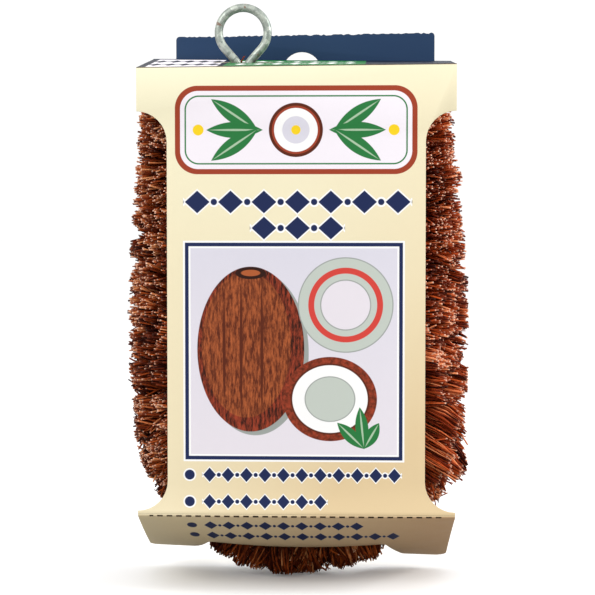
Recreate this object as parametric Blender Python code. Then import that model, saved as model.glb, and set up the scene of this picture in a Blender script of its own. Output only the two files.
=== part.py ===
"""Coir washing-up brush: fibre twisted into a wire, bent into a U and held in a printed card sleeve.

Metres, +Z up. +X is to the right and +Y to the back, as seen from the front. The origin is the
centre of the round hang hole, on the rear face of the card. The wire is one unbroken length: a
ring at its fold, both halves twisted through the fibre, and a tail that hooks round the ring's
neck. The fibre is a row of bundles along the U, each fused strands on a slice of dense backing.
"""

import math
import random

import bmesh
import bpy
from mathutils import Matrix, Vector

# Card sleeve
CARD = 0.0005
CLEARANCE = 0.0003
SLEEVE_DEPTH = 0.039
SLEEVE_WIDTH = 0.086
WAIST_WIDTH = 0.0696
FRONT_HEIGHT = 0.1212
TOP_TAB_HEIGHT = 0.0120
FOOT_TAB_HEIGHT = 0.0008
HEADER_WIDTH = 0.0745
HEADER_OFFSET = 0.0009
HEADER_HEIGHT = 0.0072
HEADER_CORNER = 0.001
HANG_HOLE_RADIUS = 0.0056
HOLE_BELOW_CREASE = 0.0034
TOP_PANEL_RISE = 0.0046
BACK_PANEL_FOOT = 0.0003
BACK_TAB_HEIGHT = 0.004
BACK_RECESS_DEPTH = 0.0026

# Base flap, which the brush pushes into a belly
FLAP_DROP_MID = 0.00805
FLAP_DROP_REAR = 0.0161
FLAP_BELLY = 0.00365
FLAP_CORNER = 0.0025
RECESS_THROAT = 0.0495
RECESS_MOUTH = 0.061
RECESS_DEPTH_SHARE = 0.5

# Slot in the top panel for the ring
SLOT_LENGTH = 0.017
SLOT_WIDTH = 0.0036

# Wire
WIRE_DIAMETER = 0.00235
STRAND_SPACING = 0.003
RING_WIDTH = 0.016
RING_STAND = 0.0144
RING_X = -0.0157
RING_FROM_BACK = 0.0175
TWIST_TURNS = 13
NECK_DROP = 0.0115
NECK_RISE = 0.0014
HOOK_RADIUS = 0.0049
TAIL_DROP = 0.0033
TAIL_BEND_RADIUS = 0.004
END_STUB = 0.0015
TAIL_BEND_DEG = (25, 55, 85)
TAIL_RUN_SHARES = (0.2, 0.4, 0.6, 0.8)
TAIL_SWAY = 0.1
HOOK_START_DEG = 270
HOOK_END_DEG = 80

# Brush
BRUSH_RADIUS = 0.02425
LEG_LEAN = 0.0033
NOSE_PROUD = 0.0102
WIRE_ROOM = 0.0098
BACKING_RADIUS = 0.0172
BACKING_MARGIN = 0.0012
MID_GAP = 0.0004
INNER_HOLLOW = 0.005
LEG_BUNDLES = 8
BEND_BUNDLES = 8
COLUMNS = 20
TIP_WIDTH = 0.0012
LENGTH_VARIATION = 0.12
TIP_WANDER = 0.25
NECK_ROOM = 0.0008

# Fineness of the faceted solids
ARC_STEPS = 8
HOLE_SIDES = 32
TWIST_POINTS_PER_TURN = 7
WIRE_BEVEL_RESOLUTION = 1
RING_STEP_DEG = 18.0
HOOK_STEPS = 9
FLAP_CUTS_ACROSS = 6
FLAP_CUTS_BACK = 6
REACH_STEP = 0.0002
SEED = 7

# Places worked out from the sizes above
REAR_CREASE_Z = HOLE_BELOW_CREASE
FRONT_CREASE_Z = REAR_CREASE_Z - TOP_PANEL_RISE
BASE_CREASE_Z = FRONT_CREASE_Z - FRONT_HEIGHT
BACK_BOTTOM_Z = BASE_CREASE_Z - FLAP_DROP_REAR - BACK_PANEL_FOOT
HINGE_Y = -SLEEVE_DEPTH + CARD / 2
HINGE_GAP = CARD / 2 + CLEARANCE
PANEL_EDGE_GAP = CLEARANCE / 2
BRUSH_Y = -SLEEVE_DEPTH / 2
RING_Y = -RING_FROM_BACK
NOSE_Z = BASE_CREASE_Z - FLAP_DROP_MID - FLAP_BELLY - NOSE_PROUD
BEND_RADIUS = BRUSH_RADIUS
BEND_Z = NOSE_Z + BEND_RADIUS + BRUSH_RADIUS
TWIST_RADIUS = STRAND_SPACING / 2
TWIST_OUTER = TWIST_RADIUS + WIRE_DIAMETER / 2


def top_panel_z(y):
    """Height of the top panel's upper face at depth y."""
    return FRONT_CREASE_Z + TOP_PANEL_RISE * (y + SLEEVE_DEPTH) / SLEEVE_DEPTH


FIBRE_TOP_Z = top_panel_z(BRUSH_Y) - CARD - WIRE_ROOM
NECK_TOP_Z = top_panel_z(RING_Y) - CARD - WIRE_DIAMETER / 2 + NECK_RISE
RING_TOP_Z = REAR_CREASE_Z + RING_STAND
TAIL_Z = NECK_TOP_Z - TAIL_DROP


def flap_drop(share_back, x):
    """How far the flap lies below its crease, a share of the depth back and x from the middle."""
    f = share_back
    profile = FLAP_DROP_MID * 4 * f * (1 - f) + FLAP_DROP_REAR * f * (2 * f - 1)
    across = 1 - (2 * x / SLEEVE_WIDTH) ** 2
    return profile + FLAP_BELLY * across * 4 * f * (1 - f)


def flap_z(x, y):
    """Height of the flap's upper face."""
    share = (y - HINGE_Y) / -HINGE_Y
    return BASE_CREASE_Z - flap_drop(min(max(share, 0.0), 1.0), x)


# The brush's path: a leg down, a round bend and a leg up, in the plane y = BRUSH_Y.
def leg_lean_angle():
    """Angle by which each leg leans in towards its top."""
    return math.asin(LEG_LEAN / (FIBRE_TOP_Z - BEND_Z))


LEAN = leg_lean_angle()
LEG_LENGTH = (FIBRE_TOP_Z - BEND_Z - BEND_RADIUS * math.sin(LEAN)) / math.cos(LEAN)
BEND_LENGTH = BEND_RADIUS * (math.pi + 2 * LEAN)
PATH_LENGTH = 2 * LEG_LENGTH + BEND_LENGTH


def path_frame(s):
    """Point, direction and outward direction of the brush's path at length s from the left top."""
    into_bend = min(max(s - LEG_LENGTH, 0.0), BEND_LENGTH)
    angle = into_bend / BEND_RADIUS - LEAN
    outward = Vector((-math.cos(angle), 0, -math.sin(angle)))
    along = Vector((math.sin(angle), 0, -math.cos(angle)))
    point = Vector((0, BRUSH_Y, BEND_Z)) + outward * BEND_RADIUS
    if s < LEG_LENGTH:
        point = point - along * (LEG_LENGTH - s)
    elif s > LEG_LENGTH + BEND_LENGTH:
        point = point + along * (s - LEG_LENGTH - BEND_LENGTH)
    return point, along, outward


def on_path(s, radius, turn):
    """Point at a radius from the path, turned from outward towards the back."""
    point, _, outward = path_frame(s)
    return point + outward * (radius * math.cos(turn)) + Vector((0, radius * math.sin(turn), 0))


def in_recess(point, inset):
    """Whether a point lies over the recess cut in the flap's rear edge, kept an inset inside it."""
    shoulder_y = HINGE_Y * (1 - RECESS_DEPTH_SHARE)
    share = min((point.y - shoulder_y) / -shoulder_y, 1.0)
    half = (RECESS_THROAT + (RECESS_MOUTH - RECESS_THROAT) * share) / 2
    return point.y > shoulder_y + inset and abs(point.x) < half - inset


def is_free(point, s, margin, through_recess):
    """Whether fibre may reach a point: inside the card, on its own side and above the flap."""
    if not -SLEEVE_DEPTH + CARD + CLEARANCE + margin < point.y < -CARD - CLEARANCE - margin:
        return False
    if s < LEG_LENGTH and point.x > -MID_GAP / 2 - margin:
        return False
    if s > LEG_LENGTH + BEND_LENGTH and point.x < MID_GAP / 2 + margin:
        return False
    from_centre = math.hypot(point.x, point.z - BEND_Z)
    if from_centre < INNER_HOLLOW and LEG_LENGTH <= s <= LEG_LENGTH + BEND_LENGTH:
        return False
    if through_recess and in_recess(point, 2 * CLEARANCE):
        return True
    return point.z > flap_z(point.x, point.y) + CLEARANCE + margin


def reach(s, turn, start, limit, margin, through_recess):
    """Largest radius up to a limit that stays free all the way from a start radius."""
    radius = start
    while radius < limit:
        step = min(radius + REACH_STEP, limit)
        if not is_free(on_path(s, step, turn), s, margin, through_recess):
            break
        radius = step
    return radius


# Small helpers
def clear_scene():
    """Remove every object, so that the script can run twice."""
    for item in list(bpy.data.objects):
        bpy.data.objects.remove(item, do_unlink=True)


def material(name, colour, roughness, metallic):
    """A plain Principled material."""
    made = bpy.data.materials.new(name)
    made.use_nodes = True
    shader = made.node_tree.nodes["Principled BSDF"]
    shader.inputs["Base Color"].default_value = (*colour, 1)
    shader.inputs["Roughness"].default_value = roughness
    shader.inputs["Metallic"].default_value = metallic
    made.diffuse_color = (*colour, 1)
    return made


def add_object(name, bm, finish):
    """Put a bmesh in the scene as one object."""
    bmesh.ops.recalc_face_normals(bm, faces=bm.faces)
    mesh = bpy.data.meshes.new(name)
    bm.to_mesh(mesh)
    bm.free()
    item = bpy.data.objects.new(name, mesh)
    item.data.materials.append(finish)
    bpy.context.collection.objects.link(item)
    return item


def hinge_empty(name, y, z):
    """An empty on a crease, which carries the panels that turn there."""
    axis = bpy.data.objects.new(name, None)
    axis.empty_display_size = 0.01
    axis.location = (0, y, z)
    bpy.context.collection.objects.link(axis)
    return axis


def carry(child, parent):
    """Parent an object without moving it."""
    bpy.context.view_layer.update()
    child.parent = parent
    child.matrix_parent_inverse = parent.matrix_world.inverted()


def arc(centre, radius, start_deg, end_deg, steps):
    """Points along a flat arc, both ends included."""
    points = []
    for i in range(steps + 1):
        angle = math.radians(start_deg + (end_deg - start_deg) * i / steps)
        points.append((centre[0] + radius * math.cos(angle), centre[1] + radius * math.sin(angle)))
    return points


def mirrored(left_side):
    """Close an outline from its left side, listed from top to bottom."""
    right_side = [(-x, z) for x, z in reversed(left_side)]
    return left_side + right_side


def flat_sheet(outline, holes):
    """A flat bmesh in x and y with an outline and holes."""
    bm = bmesh.new()
    edges = []
    for loop in [outline] + holes:
        verts = [bm.verts.new((x, y, 0)) for x, y in loop]
        for i, vert in enumerate(verts):
            edges.append(bm.edges.new((vert, verts[(i + 1) % len(verts)])))
    bmesh.ops.triangle_fill(bm, use_beauty=True, use_dissolve=False, edges=edges)
    return bm


def thicken(bm, thickness):
    """Extrude a flat sheet from z = 0 to z = -thickness."""
    made = bmesh.ops.extrude_face_region(bm, geom=bm.faces[:])
    verts = [item for item in made["geom"] if isinstance(item, bmesh.types.BMVert)]
    bmesh.ops.translate(bm, vec=(0, 0, -thickness), verts=verts)


# Card sleeve
def waisted_side(top_z, bottom_z, foot_height):
    """Left edge of a waisted panel: a tab, a concave round, the waist and a round to the foot."""
    half = SLEEVE_WIDTH / 2
    round_radius = half - WAIST_WIDTH / 2
    upper = (-half, top_z - TOP_TAB_HEIGHT - round_radius)
    lower = (-half, bottom_z + foot_height + round_radius)
    side = [(-half, top_z)]
    side += arc(upper, round_radius, 90, 0, ARC_STEPS)
    side += arc(lower, round_radius, 0, -90, ARC_STEPS)
    return side


def stand_up(y):
    """Turn a flat sheet upright, its +Z face to the front, at depth y."""
    return Matrix.Translation((0, y, 0)) @ Matrix.Rotation(math.radians(90), 4, "X")


def front_panel(finish):
    """Front panel, hung from the front top crease."""
    bottom = BASE_CREASE_Z + PANEL_EDGE_GAP
    side = waisted_side(FRONT_CREASE_Z - PANEL_EDGE_GAP, bottom, FOOT_TAB_HEIGHT)
    bm = flat_sheet(mirrored(side + [(-SLEEVE_WIDTH / 2, bottom)]), [])
    thicken(bm, CARD)
    bm.transform(stand_up(-SLEEVE_DEPTH))
    return add_object("card_front_panel", bm, finish)


def back_foot():
    """Left half of the back panel's foot: a round corner, and the recess behind the nose."""
    centre = (-SLEEVE_WIDTH / 2 + FLAP_CORNER, BACK_BOTTOM_Z + FLAP_CORNER)
    recess = -RECESS_MOUTH / 2 - FLAP_CORNER
    corner = arc(centre, FLAP_CORNER, 180, 270, ARC_STEPS // 2)
    return corner + [(recess, BACK_BOTTOM_Z), (recess, BACK_BOTTOM_Z + BACK_RECESS_DEPTH)]


def back_panel(finish):
    """Back panel and the header above it, with the hang hole."""
    half = HEADER_WIDTH / 2
    header_top = REAR_CREASE_Z + HEADER_HEIGHT
    corner = (-half + HEADER_CORNER, header_top - HEADER_CORNER)
    header = mirrored(arc(corner, HEADER_CORNER, 90, 180, ARC_STEPS // 2) + [(-half, REAR_CREASE_Z)])
    header = [(x + HEADER_OFFSET, z) for x, z in header]
    sides = mirrored(waisted_side(REAR_CREASE_Z, BACK_BOTTOM_Z, BACK_TAB_HEIGHT) + back_foot())
    outline = header[:len(header) // 2] + sides + header[len(header) // 2:]
    hole = arc((0, 0), HANG_HOLE_RADIUS, 0, 360, HOLE_SIDES)[:-1]
    bm = flat_sheet(outline, [hole])
    thicken(bm, CARD)
    bm.transform(stand_up(-CARD))
    return add_object("card_back_panel", bm, finish)


def slot_outline(centre):
    """Round-ended slot for the ring."""
    radius = SLOT_WIDTH / 2
    run = SLOT_LENGTH / 2 - radius
    right = arc((centre[0] + run, centre[1]), radius, -90, 90, ARC_STEPS)
    left = arc((centre[0] - run, centre[1]), radius, 90, 270, ARC_STEPS)
    return right + left


def top_panel(finish):
    """Top panel, which rises to the back, with the slot that the ring stands in."""
    half = SLEEVE_WIDTH / 2
    slope = math.hypot(SLEEVE_DEPTH, TOP_PANEL_RISE) / SLEEVE_DEPTH
    front = HINGE_GAP * slope
    back = (-CARD - CLEARANCE - HINGE_Y) * slope
    outline = [(-half, front), (half, front), (half, back), (-half, back)]
    slot = slot_outline((RING_X, (RING_Y - HINGE_Y) * slope))
    bm = flat_sheet(outline, [slot])
    thicken(bm, CARD)
    rise = math.atan2(TOP_PANEL_RISE, SLEEVE_DEPTH)
    place = Matrix.Translation((0, HINGE_Y, FRONT_CREASE_Z)) @ Matrix.Rotation(rise, 4, "X")
    bm.transform(place)
    return add_object("card_top_panel", bm, finish)


def flap_outline():
    """Plan of the base flap: square at the crease, two feet and a recess that widens to the back."""
    half = SLEEVE_WIDTH / 2
    throat, mouth = RECESS_THROAT / 2, RECESS_MOUTH / 2
    back = -HINGE_Y - CARD - CLEARANCE
    shoulder = -HINGE_Y * RECESS_DEPTH_SHARE
    slant_deg = math.degrees(math.atan2(mouth - throat, back - shoulder))
    set_in = FLAP_CORNER * math.tan(math.radians(45 - slant_deg / 2))
    outer = arc((-half + FLAP_CORNER, back - FLAP_CORNER), FLAP_CORNER, 180, 90, ARC_STEPS // 2)
    inner = arc((-mouth - set_in, back - FLAP_CORNER), FLAP_CORNER, 90, slant_deg, ARC_STEPS // 2)
    deep = arc((-throat + set_in, shoulder + FLAP_CORNER), FLAP_CORNER, 180 + slant_deg, 270, ARC_STEPS // 2)
    return mirrored([(-half, HINGE_GAP)] + outer + inner + deep)


def base_flap(finish):
    """Base flap, bellied down under the brush."""
    bm = flat_sheet(flap_outline(), [])
    for i in range(1, FLAP_CUTS_BACK):
        place = -HINGE_Y * i / FLAP_CUTS_BACK
        cut(bm, (0, place, 0), (0, 1, 0))
    for i in range(1, FLAP_CUTS_ACROSS):
        place = SLEEVE_WIDTH * (i / FLAP_CUTS_ACROSS - 0.5)
        cut(bm, (place, 0, 0), (1, 0, 0))
    thicken(bm, CARD)
    for vert in bm.verts:
        share = vert.co.y / -HINGE_Y
        vert.co.z -= flap_drop(share, vert.co.x)
    bm.transform(Matrix.Translation((0, HINGE_Y, BASE_CREASE_Z)))
    return add_object("card_base_flap", bm, finish)


def cut(bm, point, normal):
    """Score a flat sheet along a plane, so that it can be bent there."""
    geom = bm.verts[:] + bm.edges[:] + bm.faces[:]
    bmesh.ops.bisect_plane(bm, geom=geom, dist=1e-7, plane_co=point, plane_no=normal)


# Wire
def smooth_step(t):
    """Ease from 0 to 1."""
    return t * t * (3 - 2 * t)


def leg_point(z):
    """Point at a height on the straight line of the left leg."""
    start, along, _ = path_frame(0)
    return start + along * ((z - start.z) / along.z)


def neck_point(z):
    """Middle of the twisted pair between the ring and the left leg, at a height."""
    share = smooth_step(min(max((NECK_TOP_Z - z) / NECK_DROP, 0.0), 1.0))
    return Vector((RING_X, RING_Y, z)).lerp(leg_point(z), share)


def neck_on_path():
    """Length along the brush's path at which the neck has come into line with the leg."""
    start, along, _ = path_frame(0)
    return (NECK_TOP_Z - NECK_DROP - start.z) / along.z


def pair_frame(s):
    """Middle, outward and back directions of the twisted pair, s being 0 at the neck's top."""
    if s < NECK_DROP:
        z = NECK_TOP_Z - s
        step = NECK_DROP / 100
        here = neck_point(z)
        along = (neck_point(z - step) - neck_point(z + step)).normalized()
    else:
        here, along, _ = path_frame(s - NECK_DROP + neck_on_path())
    back = Vector((0, 1, 0))
    back = (back - along * back.dot(along)).normalized()
    return here, back.cross(along), back


def pair_length():
    """Length of the twisted pair from the neck's top to the right leg's top."""
    return NECK_DROP + PATH_LENGTH - neck_on_path()


def twist_point(s, phase):
    """Point on one half of the twisted wire."""
    here, outward, back = pair_frame(s)
    turn = 2 * math.pi * TWIST_TURNS * s / pair_length() + phase
    return here + (outward * math.cos(turn) + back * math.sin(turn)) * TWIST_RADIUS


def twist_points(phase):
    """Points down one half of the twist, from the neck to the right leg's top."""
    count = TWIST_TURNS * TWIST_POINTS_PER_TURN
    return [twist_point(pair_length() * i / count, phase) for i in range(count + 1)]


def ring_points():
    """Teardrop ring, from the left side of the neck over the top to the right side."""
    radius = (RING_WIDTH - WIRE_DIAMETER) / 2
    centre_z = RING_TOP_Z - RING_WIDTH / 2
    height = centre_z - NECK_TOP_Z
    reach_down = math.hypot(height, TWIST_RADIUS)
    lean_deg = math.degrees(math.atan2(TWIST_RADIUS, height))
    open_deg = math.degrees(math.acos(radius / reach_down))
    start_deg = 270 - lean_deg - open_deg
    steps = round((2 * start_deg - 180) / RING_STEP_DEG)
    flat = arc((RING_X, centre_z), radius, start_deg, 180 - start_deg, steps)
    ring = [Vector((x, RING_Y, z)) for x, z in flat]
    left_foot = Vector((RING_X - TWIST_RADIUS, RING_Y, NECK_TOP_Z)).lerp(ring[0], 0.5)
    right_foot = Vector((RING_X + TWIST_RADIUS, RING_Y, NECK_TOP_Z)).lerp(ring[-1], 0.5)
    return [left_foot] + ring + [right_foot]


def tail_points(last):
    """Tail from the right leg's top across to the neck, and its hook round the neck."""
    hook_centre = neck_point(TAIL_Z)
    front_y = hook_centre.y - HOOK_RADIUS
    points = []
    for i, degrees in enumerate(TAIL_BEND_DEG, 1):
        angle = math.radians(degrees)
        x = last.x - TAIL_BEND_RADIUS * (1 - math.cos(angle))
        y = last.y + (front_y - last.y) * TAIL_SWAY * i
        points.append(Vector((x, y, TAIL_Z - TAIL_BEND_RADIUS * (1 - math.sin(angle)))))
    start = points[-1]
    for share in TAIL_RUN_SHARES:
        x = start.x + (hook_centre.x - start.x) * share
        y = start.y + (front_y - start.y) * smooth_step(share)
        points.append(Vector((x, y, TAIL_Z)))
    hook = arc((hook_centre.x, hook_centre.y), HOOK_RADIUS, HOOK_START_DEG, HOOK_END_DEG, HOOK_STEPS)
    points += [Vector((x, y, TAIL_Z)) for x, y in hook]
    return points


def wire_route():
    """The whole wire: cut end, one half of the twist up to the ring, the other half and the tail."""
    upward = twist_points(0.0)
    upward.reverse()
    downward = twist_points(math.pi)
    stub = upward[0] + Vector((0, 0, END_STUB))
    return [stub] + upward + ring_points() + downward + tail_points(downward[-1])


def least_self_gap(points):
    """Least gap between stretches of the wire that aren't neighbours along it."""
    walked = [0.0]
    for i in range(1, len(points)):
        walked.append(walked[-1] + (points[i] - points[i - 1]).length)
    least = math.inf
    apart = 3 * WIRE_DIAMETER
    for i, first in enumerate(points):
        for j in range(i + 1, len(points) - 1):
            if walked[j] - walked[i] < apart:
                continue
            run = points[j + 1] - points[j]
            share = min(max((first - points[j]).dot(run) / run.length_squared, 0.0), 1.0)
            least = min(least, (points[j] + run * share - first).length)
    return least - WIRE_DIAMETER


def core_wire(finish):
    """One wire, as a bevelled curve with filled ends."""
    points = wire_route()
    print(f"core_wire: {len(points)} points, least gap to itself {least_self_gap(points) * 1000:.2f} mm")
    curve = bpy.data.curves.new("core_wire", "CURVE")
    curve.dimensions = "3D"
    curve.bevel_depth = WIRE_DIAMETER / 2
    curve.bevel_resolution = WIRE_BEVEL_RESOLUTION
    curve.use_fill_caps = True
    spline = curve.splines.new("POLY")
    spline.points.add(len(points) - 1)
    for target, point in zip(spline.points, points):
        target.co = (*point, 1)
    curve.materials.append(finish)
    item = bpy.data.objects.new("core_wire", curve)
    bpy.context.collection.objects.link(item)
    return item


# Coir bundles
def bundle_rings(starts, bore_radius):
    """Rings of points of one bundle's backing and bore, at each length along the path."""
    outer, inner = [], []
    for s in starts:
        ring = []
        for column in range(COLUMNS):
            turn = 2 * math.pi * column / COLUMNS
            radius = reach(s, turn, bore_radius + CARD, BACKING_RADIUS, BACKING_MARGIN, False)
            ring.append(on_path(s, radius, turn))
        outer.append(ring)
        sides = COLUMNS // 2
        inner.append([on_path(s, bore_radius, 2 * math.pi * k / sides) for k in range(sides)])
    return outer, inner


def strand_tip(middle_s, middle_turn, cell_s, cell_turn, base, rng):
    """Corners of one strand's tip, drawn in until the whole strand stays free."""
    s = middle_s + rng.uniform(-TIP_WANDER, TIP_WANDER) * cell_s
    turn = middle_turn + rng.uniform(-TIP_WANDER, TIP_WANDER) * cell_turn
    longest = BRUSH_RADIUS * (1 - rng.uniform(0, LENGTH_VARIATION))
    centre = sum(base, Vector()) / len(base)
    foot_radius = (centre - path_frame(middle_s)[0]).length
    radius = reach(s, turn, foot_radius, longest, 0.0, True)
    while True:
        half_turn = TIP_WIDTH / 2 / radius
        half_s = TIP_WIDTH / 2
        corners = [(s - half_s, turn - half_turn), (s - half_s, turn + half_turn),
                   (s + half_s, turn + half_turn), (s + half_s, turn - half_turn)]
        tip = [on_path(a, radius, b) for a, b in corners]
        if radius <= foot_radius + CLEARANCE or strand_is_free(base, tip, s):
            return tip
        radius -= REACH_STEP


def strand_is_free(base, tip, s):
    """Whether points along a strand's corners all stay free."""
    for low, high in zip(base, tip):
        for share in (0.25, 0.5, 0.75, 1.0):
            if not is_free(low.lerp(high, share), s, 0.0, True):
                return False
    return True


def coir_bundle(number, start, end, finish, rng):
    """One bundle: a slice of backing with its bore, and strands on every other cell."""
    start += CLEARANCE / 2
    end -= CLEARANCE / 2
    lengths = [start, (start + end) / 2, end]
    sides = COLUMNS // 2
    bore_radius = (TWIST_OUTER + CLEARANCE) / math.cos(math.pi / sides)
    if number == 1:
        bore_radius += NECK_ROOM
    outer, inner = bundle_rings(lengths, bore_radius)
    bm = bmesh.new()
    outer = [[bm.verts.new(point) for point in ring] for ring in outer]
    inner = [[bm.verts.new(point) for point in ring] for ring in inner]
    strands = []
    for row in range(2):
        for column in range(COLUMNS):
            beside = (column + 1) % COLUMNS
            face = bm.faces.new((outer[row][column], outer[row][beside],
                                 outer[row + 1][beside], outer[row + 1][column]))
            if (row + column) % 2 == 0:
                strands.append((face, row, column))
        for side in range(sides):
            beside = (side + 1) % sides
            bm.faces.new((inner[row][beside], inner[row][side],
                          inner[row + 1][side], inner[row + 1][beside]))
    for ring, bore in ((outer[0], inner[0]), (outer[2], inner[2])):
        for side in range(sides):
            beside = (side + 1) % sides
            column = 2 * side
            bm.faces.new((ring[column], ring[column + 1], bore[side]))
            bm.faces.new((ring[column + 1], ring[(column + 2) % COLUMNS], bore[beside], bore[side]))
    cell_turn = 2 * math.pi / COLUMNS
    cell_s = lengths[1] - lengths[0]
    for face, row, column in strands:
        corners = [vert.co.copy() for vert in face.verts]
        middle_s = lengths[row] + cell_s / 2
        middle_turn = cell_turn * (column + 0.5)
        tip = strand_tip(middle_s, middle_turn, cell_s, cell_turn, corners, rng)
        made = bmesh.ops.extrude_discrete_faces(bm, faces=[face])["faces"][0]
        for vert, place in zip(made.verts, tip):
            vert.co = place
    return add_object(f"coir_bundle_{number:02d}", bm, finish)


def coir_bundles(finish):
    """All bundles, from the left leg's top round the bend to the right leg's top."""
    rng = random.Random(SEED)
    cuts = [LEG_LENGTH * i / LEG_BUNDLES for i in range(LEG_BUNDLES)]
    cuts += [LEG_LENGTH + BEND_LENGTH * i / BEND_BUNDLES for i in range(BEND_BUNDLES)]
    cuts += [LEG_LENGTH + BEND_LENGTH + LEG_LENGTH * i / LEG_BUNDLES for i in range(LEG_BUNDLES + 1)]
    for number, (start, end) in enumerate(zip(cuts, cuts[1:]), 1):
        coir_bundle(number, start, end, finish, rng)


def main():
    """Build every sub-part."""
    clear_scene()
    printed_card = material("printed_card", (0.89, 0.83, 0.66), 0.55, 0.0)
    galvanised = material("galvanised_wire", (0.5, 0.5, 0.46), 0.45, 0.9)
    coir = material("coir_fibre", (0.36, 0.14, 0.05), 0.8, 0.0)
    back_panel(printed_card)
    top_panel(printed_card)
    front = front_panel(printed_card)
    flap = base_flap(printed_card)
    front_axis = hinge_empty("front_crease_axis", HINGE_Y, FRONT_CREASE_Z)
    base_axis = hinge_empty("base_crease_axis", HINGE_Y, BASE_CREASE_Z)
    carry(front, front_axis)
    carry(base_axis, front_axis)
    carry(flap, base_axis)
    core_wire(galvanised)
    coir_bundles(coir)


main()
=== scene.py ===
"""Coir scrubbing brush in its printed card sleeve: the looks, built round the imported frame.

Everything is in metres, +Z up, with the origin at the centre of the card's hang hole. The sleeve,
the wire and the fibre are one class each, and each finish is a small frozen dataclass.
"""

import logging
import math
from dataclasses import dataclass, field, replace
from enum import Enum
from typing import Callable, Optional, Sequence

import bpy
import numpy as np
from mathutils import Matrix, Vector


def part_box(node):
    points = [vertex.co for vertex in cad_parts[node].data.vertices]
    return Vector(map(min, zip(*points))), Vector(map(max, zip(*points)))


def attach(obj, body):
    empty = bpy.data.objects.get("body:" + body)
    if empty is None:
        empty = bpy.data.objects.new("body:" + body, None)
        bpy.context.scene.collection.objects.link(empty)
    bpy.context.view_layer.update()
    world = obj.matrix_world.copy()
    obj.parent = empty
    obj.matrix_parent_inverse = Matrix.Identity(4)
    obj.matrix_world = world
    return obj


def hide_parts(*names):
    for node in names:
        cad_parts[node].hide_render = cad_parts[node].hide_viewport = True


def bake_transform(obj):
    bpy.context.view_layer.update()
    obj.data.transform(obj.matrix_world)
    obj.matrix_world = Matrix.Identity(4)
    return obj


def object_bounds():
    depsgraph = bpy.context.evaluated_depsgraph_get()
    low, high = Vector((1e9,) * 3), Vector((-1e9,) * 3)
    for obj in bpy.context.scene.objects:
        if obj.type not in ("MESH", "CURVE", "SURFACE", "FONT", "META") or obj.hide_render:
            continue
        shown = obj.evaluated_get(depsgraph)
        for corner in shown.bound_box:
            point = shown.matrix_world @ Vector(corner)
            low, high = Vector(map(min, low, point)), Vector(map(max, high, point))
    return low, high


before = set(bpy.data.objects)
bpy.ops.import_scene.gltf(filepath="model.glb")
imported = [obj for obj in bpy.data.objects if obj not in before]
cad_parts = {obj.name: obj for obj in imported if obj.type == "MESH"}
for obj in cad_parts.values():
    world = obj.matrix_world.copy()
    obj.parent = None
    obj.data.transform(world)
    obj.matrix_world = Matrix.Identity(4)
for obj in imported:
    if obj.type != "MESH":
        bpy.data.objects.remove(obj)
CAD_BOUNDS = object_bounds()

LOG = logging.getLogger("scrubber")
MERGE = 1e-6
TINY = 1e-12
Colour = tuple[float, float, float]
Item = bpy.types.Object
Material = bpy.types.Material
Face = bpy.types.MeshPolygon
Node = bpy.types.Node
Socket = bpy.types.NodeSocket
Array = np.ndarray
Random = np.random.Generator
BACK = np.array([0.0, 1.0, 0.0])


class Body(Enum):
    """Rigid bodies of the frame that a piece can ride on."""

    PACK = "pack"
    FRONT = "front_panel"
    FLAP = "base_flap"


class Slot(Enum):
    """Material slots of the record."""

    CARD = "printed_card"
    WIRE = "galvanised_wire"
    COIR = "coir_fibre"


def linear(value: int) -> float:
    """Turn one screen value from 0 to 255 into linear light."""
    share = value / 255
    return share / 12.92 if share <= 0.04045 else ((share + 0.055) / 1.055) ** 2.4


def srgb(red: int, green: int, blue: int) -> Colour:
    """Turn a screen colour, each value from 0 to 255, into linear light."""
    return linear(red), linear(green), linear(blue)


def shifted(place: tuple, offset: tuple) -> tuple:
    """Place on the card, moved across and up by an offset."""
    return place[0] + offset[0], place[1] + offset[1]


def smoothed(share: float) -> float:
    """Share from 0 to 1 that starts and ends slowly."""
    return share * share * (3 - 2 * share)


def wrapped(turn: Array) -> Array:
    """Turns brought within half a turn of outward, either way."""
    return (turn + math.pi) % (2 * math.pi) - math.pi


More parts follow.
